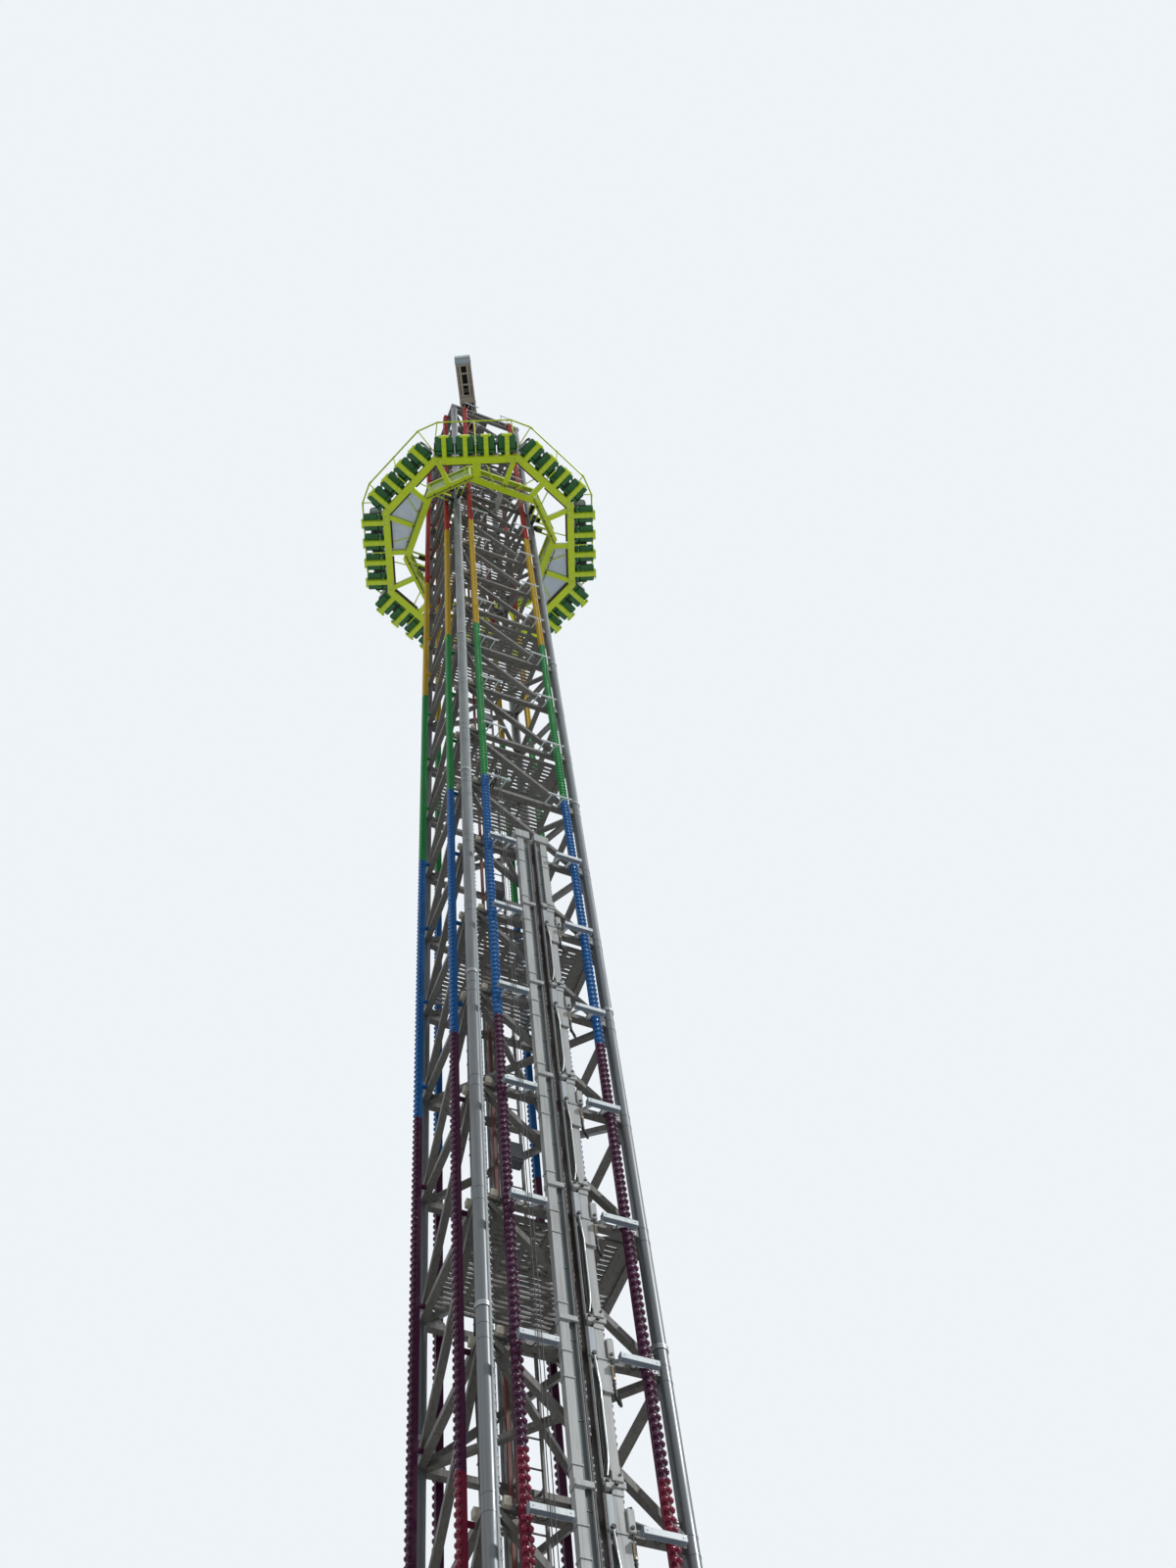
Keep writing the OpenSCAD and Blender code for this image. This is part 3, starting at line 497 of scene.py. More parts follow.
def addHose(bm, points, radius, sides=6):
    spots = [Vector(p) for p in points]
    lines = [(b - a).normalized() for a, b in zip(spots[:1] + spots[:-1], spots[1:] + spots[-1:])]
    circle = bmesh.ops.create_circle(bm, cap_ends=True, segments=sides, radius=radius,
                                     matrix=Matrix.Translation(spots[0]) @ pointed(lines[0]))
    ring = circle["verts"][0].link_faces[0]
    for i in range(1, len(spots)):
        grown = bmesh.ops.extrude_face_region(bm, geom=[ring])
        ring = next(g for g in grown["geom"] if isinstance(g, bmesh.types.BMFace))
        bend = lines[i - 1].rotation_difference(lines[i]).to_matrix().to_4x4()
        place = Matrix.Translation(spots[i]) @ bend @ Matrix.Translation(-spots[i - 1])
        bmesh.ops.transform(bm, matrix=place, verts=ring.verts)


def finishPiece(name, bm, finish="boltSteel", slot="galvanised", body="root", smooth=35, repeat=None,
                turn=None, clean=False):
    if turn is not None:
        bmesh.ops.transform(bm, matrix=turn, verts=bm.verts)
    if clean:
        bmesh.ops.recalc_face_normals(bm, faces=bm.faces)
    mesh = bpy.data.meshes.new(name)
    bm.to_mesh(mesh)
    bm.free()
    mesh.shade_smooth()
    mesh.set_sharp_from_angle(angle=radians(smooth))
    mesh.materials.append(finishes[finish])
    piece = bpy.data.objects.new(name, mesh)
    bpy.context.scene.collection.objects.link(piece)
    if repeat:
        array = piece.modifiers.new("repeat", "ARRAY")
        array.use_relative_offset = False
        array.use_constant_offset = True
        array.count, array.constant_offset_displace = repeat
    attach(piece, body)
    return piece


def boxPiece(name, finish, slot, rows, origin=(0, 0, 0), hands=(-1, 1), **more):
    bm = bmesh.new()
    addBoxes(bm, rows, origin, hands)
    return finishPiece(name, bm, finish, slot, **more)


hoseSkin = {"smooth": 60, "clean": True}    # how a swept hose is finished


# Coloured lamp caps in two rows on a half-round bed in each channel
capStrip = {"x": 0.505, "bedOut": 0.117, "bedRadius": 0.03, "bedSides": 16, "bottom": 1.04, "capAngle": 46,
            "cap": (0.025, 0.027), "capSunk": 0.003, "first": 1.09, "pitch": 0.079}


def addCapStrips():
    y = -mast["half"] - capStrip["bedOut"]
    capOut = capStrip["bedRadius"] - capStrip["capSunk"]
    count = int((topZ - capStrip["first"]) / capStrip["pitch"])
    for side, sideName in enumerate(sideNames):
        for hand, x in (("left", -capStrip["x"]), ("right", capStrip["x"])):
            ending = "_%s_%s" % (sideName, hand)
            bed = bmesh.new()
            addRod(bed, (x, y, capStrip["bottom"]), (x, y, topZ), capStrip["bedRadius"], capStrip["bedSides"])
            finishPiece("capBed" + ending, bed, "bedPlastic", "light_strip", turn=turned(side))
            caps = bmesh.new()
            for lean in (-1, 1):
                out = heading(lean * capStrip["capAngle"] - 90)
                addDome(caps, Vector((x, y, capStrip["first"])) + out * capOut, out, *capStrip["cap"])
            finishPiece("lampCaps" + ending, caps, "capPlastic", "light_strip", smooth=70,
                        repeat=(count, up(capStrip["pitch"])), turn=turned(side))


addCapStrips()
print("lamp caps on the strips")


# Clear bulbs on the corner tubes
bulb = {"out": 0.0675, "dome": (0.011, 0.016), "first": 1.14, "pitch": 0.079}


def addClearBulbs():
    count = int((topZ - bulb["first"]) / bulb["pitch"])
    for i in range(4):
        out = heading(135 + 90 * i)
        bm = bmesh.new()
        addDome(bm, cornerAt(i) + out * bulb["out"] + up(bulb["first"]), out, *bulb["dome"])
        finishPiece("clearBulbs_%d" % (i + 1), bm, "bulbPlastic", "lamp_housing", smooth=70,
                    repeat=(count, up(bulb["pitch"])))


addClearBulbs()
print("clear bulbs on the corner tubes")


# Joints of the lattice: plates and bolts where bars meet the corner tubes
joint = {"plateX": 0.585, "plate": (0.1, 0.005, 0.05), "edge": 0.001, "bolt": 0.008, "head": 0.007,
         "boltPitch": 0.03, "gussetOut": 0.014,
         "gussetBolts": ((0.075, 0.16), (0.075, 0.19), (0.14, 0.052), (0.18, 0.052))}      # in and up


def addJoints():
    thick = joint["plate"][1]
    for side, sideName in enumerate(sideNames):
        plates = bmesh.new()
        for hand in (-1, 1):
            x = hand * joint["plateX"]
            addBox(plates, joint["plate"], (x, barFace - thick / 2, mast["foot"]), edge=joint["edge"])
            for k in (-1, 0, 1):
                addPin(plates, (x + k * joint["boltPitch"], barFace - thick, mast["foot"]), -joint["head"],
                       joint["bolt"])
        finishPiece("barPlates_" + sideName, plates, repeat=everyBay(mast["bays"] + 1), turn=turned(side))
        bolts = bmesh.new()
        flip = -1 if side % 2 else 1        # the diagonals lean the other way on every second side
        for inward, rise in joint["gussetBolts"]:
            for end, level in ((-1, mast["foot"] + mast["bay"] - rise), (1, mast["foot"] + rise)):
                spot = (flip * end * (mast["half"] - inward), -mast["half"] - joint["gussetOut"], level)
                addPin(bolts, spot, 2 * joint["gussetOut"], joint["bolt"])
        finishPiece("gussetBolts_" + sideName, bolts, repeat=everyBay(mast["bays"]), turn=turned(side))


addJoints()
print("lattice joints bolted")


# Collars on the corner tubes and a bolt through the lugs of each section joint
collar = {"ring": (0.0585, 0.016, 20), "apart": 0.075,      # radius, height, sides
          "jointRing": (0.064, 0.02, 20), "jointApart": 0.012, "jointUp": 0.26,
          "bolt": (0.011, 0.144, 8), "nut": (0.018, 0.012, 6), "nutApart": 0.066, "lugIn": 0.082}


def addCollars():
    low = mast["foot"] + mast["section"] * mast["bay"] + collar["jointUp"]
    for i in range(4):
        corner = cornerAt(i)
        lug = corner - heading(45 + 90 * i) * collar["lugIn"] + up(low)
        rings, joints = bmesh.new(), bmesh.new()
        for hand in (-1, 1):
            addStub(rings, corner + up(mast["foot"] + hand * collar["apart"]), *collar["ring"])
            addStub(joints, corner + up(low + hand * collar["jointApart"]), *collar["jointRing"])
            addStub(joints, lug + up(hand * collar["nutApart"]), *collar["nut"])
        addStub(joints, lug, *collar["bolt"])
        finishPiece("tubeCollars_%d" % (i + 1), rings, "tubePaint", "tube_steel",
                    repeat=everyBay(mast["bays"]))
        finishPiece("sectionJoints_%d" % (i + 1), joints,
                    repeat=everyBay(mast["bays"] // mast["section"] - 1, mast["section"]))


addCollars()
print("collars and section joints")


# Brake: magnets, webs and edges beside the slot, the same on the front and the back
brake = {"front": -0.86, "slot": 0.023, "bottom": 1.1, "top": 17.75, "bays": 11,
         "pitchLine": 0.135, "webLine": 0.068}      # x of the levers' line and of the web's middle
brakeHigh = brake["top"] - brake["bottom"]

slotPieces = {      # finish, pitch, boxes as size, place from the slot's side and rounding
    # a near-black strip on the magnets' faces, and a near-black sheet along the slot wall that is painted
    # shade
    "magnetBars": ("magnetCoat", None, (
        ((0.0178, 0.005, brakeHigh - 0.01), (0.0082, -0.0015, brakeHigh / 2), 0.001),
        ((0.003, 0.066, brakeHigh - 0.01), (-0.0012, 0.034, brakeHigh / 2), 0))),
    "magnets": ("magnetBrown", 0.1, (
        ((0.012, 0.004, 0.094), (0.0082, -0.004, 0.05), 0.0012),)),
    # the webs take a dark teal that is painted shade in their recess
    "brakeWebs": ("webPaint", 0.75, (
        ((0.063, 0.003, 0.738), (0.0445, 0.0275, 0.375), 0.001),
        ((0.058, 0.008, 0.012), (0.0465, 0.025, 0), 0))),
    "slotEdges": ("brakePaint", None, (
        ((0.005, 0.03, brakeHigh - 0.02), (0.0205, 0.012, brakeHigh / 2), 0.001),)),
}


def addSlotPieces(*names):
    for side in (0, 2):
        for name in names:
            finish, pitch, rows = slotPieces[name]
            bm = bmesh.new()
            for hand in (-1, 1):
                for size, (x, y, z), edge in rows:
                    spot = (hand * (brake["slot"] + x), brake["front"] + y, brake["bottom"] + z)
                    addBox(bm, size, spot, edge=edge)
            finishPiece("%s_%s" % (name, sideNames[side]), bm, finish, "brake_steel", turn=turned(side),
                        repeat=(int(brakeHigh / pitch), up(pitch)) if pitch else None)


# Brackets, levers, valves and hoses of the front brake, at their places in each bay
def brakeSpot(x, y, z, line="pitchLine"):
    return brake[line] + x, brake["front"] + y, brake["bottom"] + z


brackets = (        # size, place, rounding and steps
    ((0.164, 0.018, 0.06), (-0.021, -0.01, 0.235), 0.003),
    ((0.084, 0.03, 0.08), (0, -0.015, 0.285), 0.004),
    ((0.04, 0.046, 0.044), (-0.076, -0.012, 0.194), 0.004),
    ((0.146, 0.018, 0.052), (-0.24, -0.01, 0.18), 0.003),     # on the column across the slot
)
leverPlate = {"size": (0.118, 0.014, 0.27), "spot": (-0.011, -0.009, 1.175), "narrower": 0.03}
levers = (
    ((0.092, 0.02, 0.018), (0.006, -0.012, 1.038), 0.002),
    ((0.054, 0.05, 0.19), (0.068, 0.006, 1.46), 0.005),
    ((0.06, 0.012, 0.016), (0.06, 0.004, 1.15), 0.002),
    ((0.06, 0.012, 0.016), (0.06, 0.004, 1.31), 0.002),
)
actuator = (((0.054, 0.034, 0.29), (-0.067, 0.006, 1.5), 0.005),)
brakePins = (       # place, how far it comes forward, radius, sides
    ((-0.078, -0.012, 0.235), 0.028, 0.014, 10),
    ((-0.012, -0.012, 0.225), 0.028, 0.014, 10),
    ((0.018, -0.012, 0.3), 0.028, 0.01, 10),
    ((-0.067, -0.008, 1.378), 0.022, 0.017, 10),
    ((0.068, -0.016, 1.4), 0.014, 0.014, 8),
)
valve = {"x": 0.072, "y": 0.002, "tubes": ((1.17, 1.3, 0.016, 12),),     # from, to, radius, sides
         "necks": ((1.29, 1.37, 0.007, 8), (1.08, 1.18, 0.012, 8))}
brakeHoses = (      # radius and points
    (0.012, ((0.072, 0.018, 1.54), (0.074, 0.018, 1.58), (0.092, 0.025, 1.6), (0.112, 0.045, 1.55),
             (0.116, 0.08, 1.4), (0.1, 0.105, 1.22))),
    (0.012, ((0.072, 0.002, 1.09), (0.078, 0.004, 1.02), (0.105, 0.02, 0.98), (0.135, 0.06, 1.01),
             (0.145, 0.09, 1.1), (0.12, 0.11, 1.2))),
    (0.0102, ((-0.02, -0.012, 1.05), (-0.045, -0.004, 1.00), (-0.063, 0.008, 0.93), (-0.065, 0.012, 0.8),
              (-0.065, 0.012, 0.46), (-0.059, 0.006, 0.38), (-0.03, -0.006, 0.32))),
)
pullRod = (0.007, ((0, -0.016, 1.37), (0.002, -0.018, 1.32), (0.01, -0.018, 1.2), (0.022, -0.014, 1.08),
                   (0.022, -0.01, 0.96), (0.022, -0.01, 0.5), (0.016, -0.014, 0.4),
                   (-0.004, -0.02, 0.28)))


def addBrakeLevers():
    origin, again = brakeSpot(0, 0, 0), everyBay(brake["bays"] - 1)
    lower = boxPiece("brakeBrackets", "brakePaint", "brake_steel", brackets, origin, (1,),
                     repeat=everyBay(brake["bays"]))
    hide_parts("brake_levers")
    plates = bmesh.new()
    middle = Vector(brakeSpot(*leverPlate["spot"]))
    addBox(plates, leverPlate["size"], middle)
    for v in plates.verts:          # the plate narrows downwards on the slot's side
        if v.co.x < middle.x and v.co.z < middle.z:
            v.co.x += leverPlate["narrower"]
    addBoxes(plates, levers, origin, (1,))
    finishPiece("brakeLeverPlates", plates, "brakePaint", "brake_steel", repeat=again)
    boxPiece("brakeActuators", "actuatorPaint", "brake_steel", actuator, origin, (1,), repeat=again)
    pins = bmesh.new()
    for spot, reach, radius, sides in brakePins:
        addPin(pins, brakeSpot(*spot), -reach, radius, sides)
    finishPiece("brakePins", pins, "jibDark", "brake_steel", repeat=again)


def addBrakeFittings():
    again = everyBay(brake["bays"] - 1)
    tubes, hoses, rods = bmesh.new(), bmesh.new(), bmesh.new()
    x, y = valve["x"], valve["y"]
    for bm, rows in ((tubes, valve["tubes"]), (hoses, valve["necks"])):
        for low, high, radius, sides in rows:
            addRod(bm, brakeSpot(x, y, low), brakeSpot(x, y, high), radius, sides)
    for radius, points in brakeHoses:
        addHose(hoses, [brakeSpot(*p) for p in points], radius)
    radius, points = pullRod
    addHose(rods, [brakeSpot(*p, "webLine") for p in points], radius)
    finishPiece("brakeBrass", tubes, "brassMetal", "brake_steel", repeat=again)
    finishPiece("brakeHoses", hoses, "blackRubber", "brake_steel", repeat=again, **hoseSkin)
    finishPiece("brakePullRods", rods, "boltSteel", "brake_steel", repeat=again, **hoseSkin)


addSlotPieces("magnetBars", "magnets")
addSlotPieces("brakeWebs", "slotEdges")
addBrakeLevers()
addBrakeFittings()
print("brake fitted out")


# Lamp boxes: an underside plate and end plates in a dark blue-grey that is painted shade, screws and a cable
# to each
lampBox = {"x": 0.385, "length": 0.3, "side": 0.05, "out": 0.27, "drop": 0.175, "levels": 11,
           "lid": (0.29, 0.042, 0.003), "lidEdge": 0.001, "end": (0.004, 0.056, 0.056), "endEdge": 0.0015,
           "screwX": 0.125, "screw": (-0.004, 0.006, 8), "gland": (0.02, 0.009, 8),     # reach, radius, sides
           "cable": 0.005,
           "cableRun": ((0, 0.068, 0), (0, 0.1, 0.002), (0.01, 0.15, 0.03), (0.02, 0.19, 0.08),
                        (0.025, 0.225, 0.145))}


def addLampTrim():
    front = -mast["half"] - lampBox["out"]
    z = mast["foot"] + mast["bay"] - lampBox["drop"]
    y = front + lampBox["side"] / 2
    lid, end = lampBox["lid"], lampBox["end"]
    plates, screws, cables = bmesh.new(), bmesh.new(), bmesh.new()
    for hand in (-1, 1):
        x = hand * lampBox["x"]
        addBox(plates, lid, (x, y, z - (lampBox["side"] + lid[2]) / 2), edge=lampBox["lidEdge"])
        for tip in (-1, 1):
            addBox(plates, end, (x + tip * (lampBox["length"] + end[0]) / 2, y, z), edge=lampBox["endEdge"])
            addPin(screws, (x + tip * lampBox["screwX"], front, z), *lampBox["screw"])
        addPin(screws, (x, front + lampBox["side"], z), *lampBox["gland"])
        addHose(cables, [(x + hand * dx, front + dy, z + dz) for dx, dy, dz in lampBox["cableRun"]],
                lampBox["cable"])
    again = everyBay(lampBox["levels"])
    finishPiece("lampPlates", plates, "lampUnder", "lamp_housing", repeat=again)
    finishPiece("lampScrews", screws, repeat=again)
    finishPiece("lampCables", cables, "blackRubber", "black_rope", repeat=again, **hoseSkin)


addLampTrim()
print("lamp boxes trimmed")


# Gondola: where its sides and seats are
gondola = {"z": 30.5, "sides": 8, "firstSide": -112.5, "long": 1.635, "short": 1.68, "beam": 0.12,
           "turn": 45, "halfSide": 0.4142,      # degrees from side to side, half a side for each metre out
           "row": 4, "pitchLong": 0.368, "pitchShort": 0.35, "innerFace": 1.175, "hoopUp": 0.9,
           "hoopOut": 2.09}


def sideAt(i):
    return spun(gondola["firstSide"] + gondola["turn"] * i)


def sideOut(i):
    return gondola["long"] if i % 2 == 0 else gondola["short"]


def sideSpot(i, out, along, rise=0.0):
    return sideAt(i) @ Vector((out, along, gondola["z"] + rise))


def seatAt(i, j):
    pitch = gondola["pitchLong"] if i % 2 == 0 else gondola["pitchShort"]
    return sideAt(i) @ Matrix.Translation((sideOut(i), (j - (gondola["row"] - 1) / 2) * pitch, gondola["z"]))


def copyToSeats(name, shape, finish="boltSteel", slot="galvanised", smooth=40, clean=False):
    whole = bmesh.new()
    mesh = bpy.data.meshes.new(name + "_one")
    shape.to_mesh(mesh)
    shape.free()
    for i in range(gondola["sides"]):
        for j in range(gondola["row"]):
            before = len(whole.verts)
            whole.from_mesh(mesh)
            whole.verts.ensure_lookup_table()
            bmesh.ops.transform(whole, matrix=seatAt(i, j), verts=whole.verts[before:])
    bpy.data.meshes.remove(mesh)
    return finishPiece(name, whole, finish, slot, body="gondola", smooth=smooth, clean=clean)


# Seats: a moulded shell with wings, a headrest and a rolled front edge, and the shoulder bars
seat = {"foot": (0.09, 0, 0.0423), "wingLean": 4, "barY": 0.082, "barRadius": 0.02, "barSides": 8,
        "pivot": (0.03, 0.57, 0.03, 0.009),             # out, up, half its length, radius
        "strap": (0.194, 0.03, 0.252, 0.12, 0.004)}     # out, across, from, to, radius
seatShell = (       # size, place from the seat's foot, rounding and steps
    ((0.056, 0.318, 0.392), (0.028, 0, 0.196), 0.014, 3),
    ((0.05, 0.225, 0.2), (0.027, 0, 0.458), 0.022, 3),
    ((0.266, 0.318, 0.074), (0.193, 0, 0.0385), 0.032, 4),
    ((0.16, 0.05, 0.022), (0.235, 0, 0.076), 0.008, 2),
)
seatWings = (
    ((0.122, 0.026, 0.26), (0.106, 0.1435, 0.22), 0.01, 3),
    ((0.07, 0.024, 0.1), (0.088, 0.143, 0.125), 0.01, 2),
)
seatRibs = (
    ((0.012, 0.018, 0.36), (-0.004, 0.085, 0.2), 0.004),
    ((0.014, 0.2, 0.018), (-0.004, 0, 0.37), 0.004),
    ((0.018, 0.11, 0.13), (0.063, 0, 0.465), 0.008, 2),
    ((0.2, 0.0152, 0.125), (0.095, 0.1666, 0.068), 0.004),
    ((0.03, 0.22, 0.11), (-0.016, 0, 0.058), 0.006),
)
barPads = (((0.026, 0.036, 0.22), (0.198, 0.082, 0.4), 0.01, 2),)
barPath = (         # out, share of barY, up, from the back's top over the shoulder to the lap
    (0.012, 1, 0.572), (0.06, 1, 0.59), (0.13, 1, 0.592), (0.169, 1, 0.58), (0.196, 1, 0.549),
    (0.204, 1, 0.494), (0.204, 1, 0.302), (0.2, 0.9, 0.264), (0.2, 0.6, 0.252), (0.2, 0, 0.252),
)


def addSeats():
    foot = seat["foot"]
    shell = bmesh.new()
    addBoxes(shell, seatShell, foot)
    addBoxes(shell, seatWings, foot, lean=seat["wingLean"])
    shells = copyToSeats("seatShells", shell, "shellPlastic", "seat_shell", smooth=50)
    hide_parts("seat_pans", "seat_backs")

    ribs = bmesh.new()
    addBoxes(ribs, seatRibs, foot)
    copyToSeats("seatRibs", ribs, "blackPlastic", "seat_shell")

    bars, metal = bmesh.new(), bmesh.new()
    for hand in (-1, 1):
        y = hand * seat["barY"]
        addHose(bars, [moved(foot, x, y * share, z) for x, share, z in barPath], seat["barRadius"],
                seat["barSides"])
        addBoxes(bars, barPads, foot, (hand,))
        x, z, half, radius = seat["pivot"]
        addRod(metal, moved(foot, x, y - hand * half, z), moved(foot, x, y + hand * half, z), radius, 8)
        x, across, top, end, radius = seat["strap"]
        y = hand * across
        addRod(metal, moved(foot, x, y, top), moved(foot, x, y, end), radius, 6)
    restraints = copyToSeats("shoulderBars", bars, "blackRubber", "black_padding", **hoseSkin)
    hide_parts("restraints")
    copyToSeats("seatFittings", metal)


addSeats()
print("seats moulded")


# Seat arms: plates below and at both ends, with their bolts
arm = {"under": -0.042, "bolt": 0.007, "endBolt": (0.407, 0.451), "endY": 0.055, "endZ": 0.024,
       "lowBolts": (0.1, 0.15, 0.27, 0.36), "lowY": 0.024, "lowHead": 0.006}
armPlates = (       # size, place from the beam's middle, rounding
    ((0.06, 0.066, 0.005), (0.115, 0, -0.0445), 0.001),
    ((0.1, 0.066, 0.005), (0.345, 0, -0.0445), 0.001),
    ((0.005, 0.012, 0.07), (0.064, 0.046, 0), 0.001),
    ((0.022, 0.014, 0.074), (0.43, 0.081, 0), 0.002),
)


def addArmDetail():
    bolts = bmesh.new()
    for hand in (-1, 1):
        for z in (-arm["endZ"], arm["endZ"]):
            start, end = arm["endBolt"]
            addRod(bolts, (start, hand * arm["endY"], z), (end, hand * arm["endY"], z), arm["bolt"], 6)
        for x in arm["lowBolts"]:
            spot = Vector((x, hand * arm["lowY"], arm["under"]))
            addRod(bolts, spot, spot - up(arm["lowHead"]), arm["bolt"], 6)
    copyToSeats("armBolts", bolts)
    plates = bmesh.new()
    addBoxes(plates, armPlates)
    copyToSeats("armPlates", plates, "greenPaint", "green_paint")


addArmDetail()
print("seat arms detailed")


# Ring: a dark strip shaped as a cable tray inside the beams, painted shade on the ring's inner face, and
# splice plates at the corners
ringTrim = {"tray": (0.03, 0.07), "trayEdge": 0.003, "trayGap": 0.001, "trayUp": 0.004,
            "trayFrom": 0.08, "trayShort": 0.09, "spliceShort": 0.08,      # trayFrom is clear of the spoke
            "splice": (0.1, 0.16, 0.006), "spliceEdge": 0.0015,
            "bolt": 0.009, "head": 0.007, "boltX": (-0.033, 0.033), "boltY": (-0.055, 0, 0.055)}


def addRingTrim():
    tray, plates, bolts = bmesh.new(), bmesh.new(), bmesh.new()
    (wide, high), face, thick = ringTrim["tray"], gondola["beam"] / 2, ringTrim["splice"][2]
    for i in range(gondola["sides"]):
        out, turn = sideOut(i), sideAt(i)
        half = out * gondola["halfSide"]
        x = out - face - wide / 2 - ringTrim["trayGap"]
        near, far = ringTrim["trayFrom"], half - ringTrim["trayShort"]
        for hand in (-1, 1):
            spot = sideSpot(i, x, hand * (near + far) / 2, ringTrim["trayUp"])
            addBox(tray, (wide, far - near, high), spot, turn, ringTrim["trayEdge"])
            y = hand * (half - ringTrim["spliceShort"])
            for z in (-1, 1):
                spot = sideSpot(i, out, y, z * (face + thick / 2))
                addBox(plates, ringTrim["splice"], spot, turn, ringTrim["spliceEdge"])
                for dx in ringTrim["boltX"]:
                    for dy in ringTrim["boltY"]:
                        at = sideSpot(i, out + dx, y + dy, z * (face + thick))
                        addRod(bolts, at, at + up(z * ringTrim["head"]), ringTrim["bolt"], 6)
    finishPiece("ringTray", tray, "trayRubber", "black_padding", body="gondola")
    finishPiece("ringSplices", plates, "greenPaint", "green_paint", body="gondola")
    finishPiece("ringBolts", bolts, body="gondola")


# Hoses along the inner ring, with three clips on each
ringHose = {"radius": 0.012, "out": 0.085, "down": 0.072, "wave": 0.014, "swing": 20, "steps": 6,
            "clipAt": (2, 6, 10), "clip": (0.04, 0.03, 0.03), "clipUp": 0.004, "clipEdge": 0.004}


def addRingHoses():
    hoses, clips = bmesh.new(), bmesh.new()
    steps = ringHose["steps"]
    for i in range(gondola["sides"]):
        middle = gondola["turn"] * i - 90
        path = []
        for k in range(2 * steps + 1):
            swing = (k - steps) * ringHose["swing"] / steps
            out = (gondola["innerFace"] + ringHose["out"]) / cos(radians(swing))
            a = radians(middle + swing)
            path.append((out * cos(a), out * sin(a),
                         gondola["z"] - ringHose["down"] + ringHose["wave"] * (-1) ** k))
        addHose(hoses, path, ringHose["radius"])
        for k in ringHose["clipAt"]:
            addBox(clips, ringHose["clip"], moved(path[k], 0, 0, ringHose["clipUp"]), spun(middle),
                   ringHose["clipEdge"])
    finishPiece("ringHoses", hoses, "hoseGreen", "green_paint", body="gondola", **hoseSkin)
    finishPiece("ringClips", clips, "blackPlastic", "black_padding", body="gondola")


addRingTrim()
addRingHoses()
print("ring trimmed")


# Guide wheels: hub, bolts and tread on each
wheel = {"radius": 0.085, "width": 0.056, "rise": 0.6,
         "out": 0.8413,         # half the mast, a tube's radius, 0.3 mm of running gap and the wheel's radius
         "hub": 0.042, "hubThick": 0.004, "hubSides": 16, "boltOut": 0.03, "bolt": 0.004, "boltHead": 0.003,
         "bolts": 5, "treadPitch": 0.018, "treadHalf": 0.006, "treadOver": 0.00015, "treadSides": 32}


def addWheel(hubs, treads, at, axis):
    for hand in (-1, 1):
        face = at + axis * hand * (wheel["width"] / 2)
        outer = face + axis * hand * wheel["hubThick"]
        addRod(hubs, face, outer, wheel["hub"], wheel["hubSides"])
        for k in range(wheel["bolts"]):
            around = Matrix.Rotation(2 * pi * k / wheel["bolts"], 3, axis) @ axis.orthogonal()
            spot = outer + around * wheel["boltOut"]
            addRod(hubs, spot, spot + axis * hand * wheel["boltHead"], wheel["bolt"], 6)
    for k in (-1, 0, 1):
        middle = k * wheel["treadPitch"]
        addRod(treads, at + axis * (middle - wheel["treadHalf"]), at + axis * (middle + wheel["treadHalf"]),
               wheel["radius"] + wheel["treadOver"], wheel["treadSides"])


def addWheelHubs():
    hubs, treads = bmesh.new(), bmesh.new()
    half, out = mast["half"], wheel["out"]
    for i in range(4):
        for z in (gondola["z"], gondola["z"] + wheel["rise"]):
            for spot, axis in (((half, -out, z), (1, 0, 0)), ((out, -half, z), (0, -1, 0))):
                addWheel(hubs, treads, turned(i) @ Vector(spot), turned(i) @ Vector(axis))
    finishPiece("wheelHubs", hubs, body="gondola")
    finishPiece("wheelTreads", treads, "blackRubber", "wheel_rubber", body="gondola")


addWheelHubs()
print("wheels finished")


# Hoop: sleeves where the tubes meet and white caps at the feet of the struts
hoopTrim = {"sleeve": (0.0185, 12), "sleeveLong": 0.05, "middleHalf": 0.03, "corner": 0.38,
            "cap": 0.022, "capOut": 0.284, "capDown": 0.006, "capSteps": (10, 6)}


def addHoopTrim():
    sleeves, caps = bmesh.new(), bmesh.new()
    out, rise = gondola["hoopOut"], gondola["hoopUp"]
    half = out * gondola["halfSide"] - hoopTrim["corner"] / 2 / cos(radians(gondola["turn"] / 2))
    for i in range(gondola["sides"]):
        spans = [(hand * half, hand * (half - hoopTrim["sleeveLong"])) for hand in (-1, 1)]
        for start, end in spans + [(-hoopTrim["middleHalf"], hoopTrim["middleHalf"])]:
            addRod(sleeves, sideSpot(i, out, start, rise), sideSpot(i, out, end, rise), *hoopTrim["sleeve"])
        foot = sideSpot(i, sideOut(i) + hoopTrim["capOut"], 0, -hoopTrim["capDown"])
        around, high = hoopTrim["capSteps"]
        bmesh.ops.create_uvsphere(caps, u_segments=around, v_segments=high, radius=hoopTrim["cap"],
                                  matrix=Matrix.Translation(foot))
    finishPiece("hoopSleeves", sleeves, "greenPaint", "green_paint", body="gondola")
    finishPiece("strutCaps", caps, "bulbPlastic", "lamp_housing", body="gondola", smooth=70)


addHoopTrim()
print("hoop trimmed")
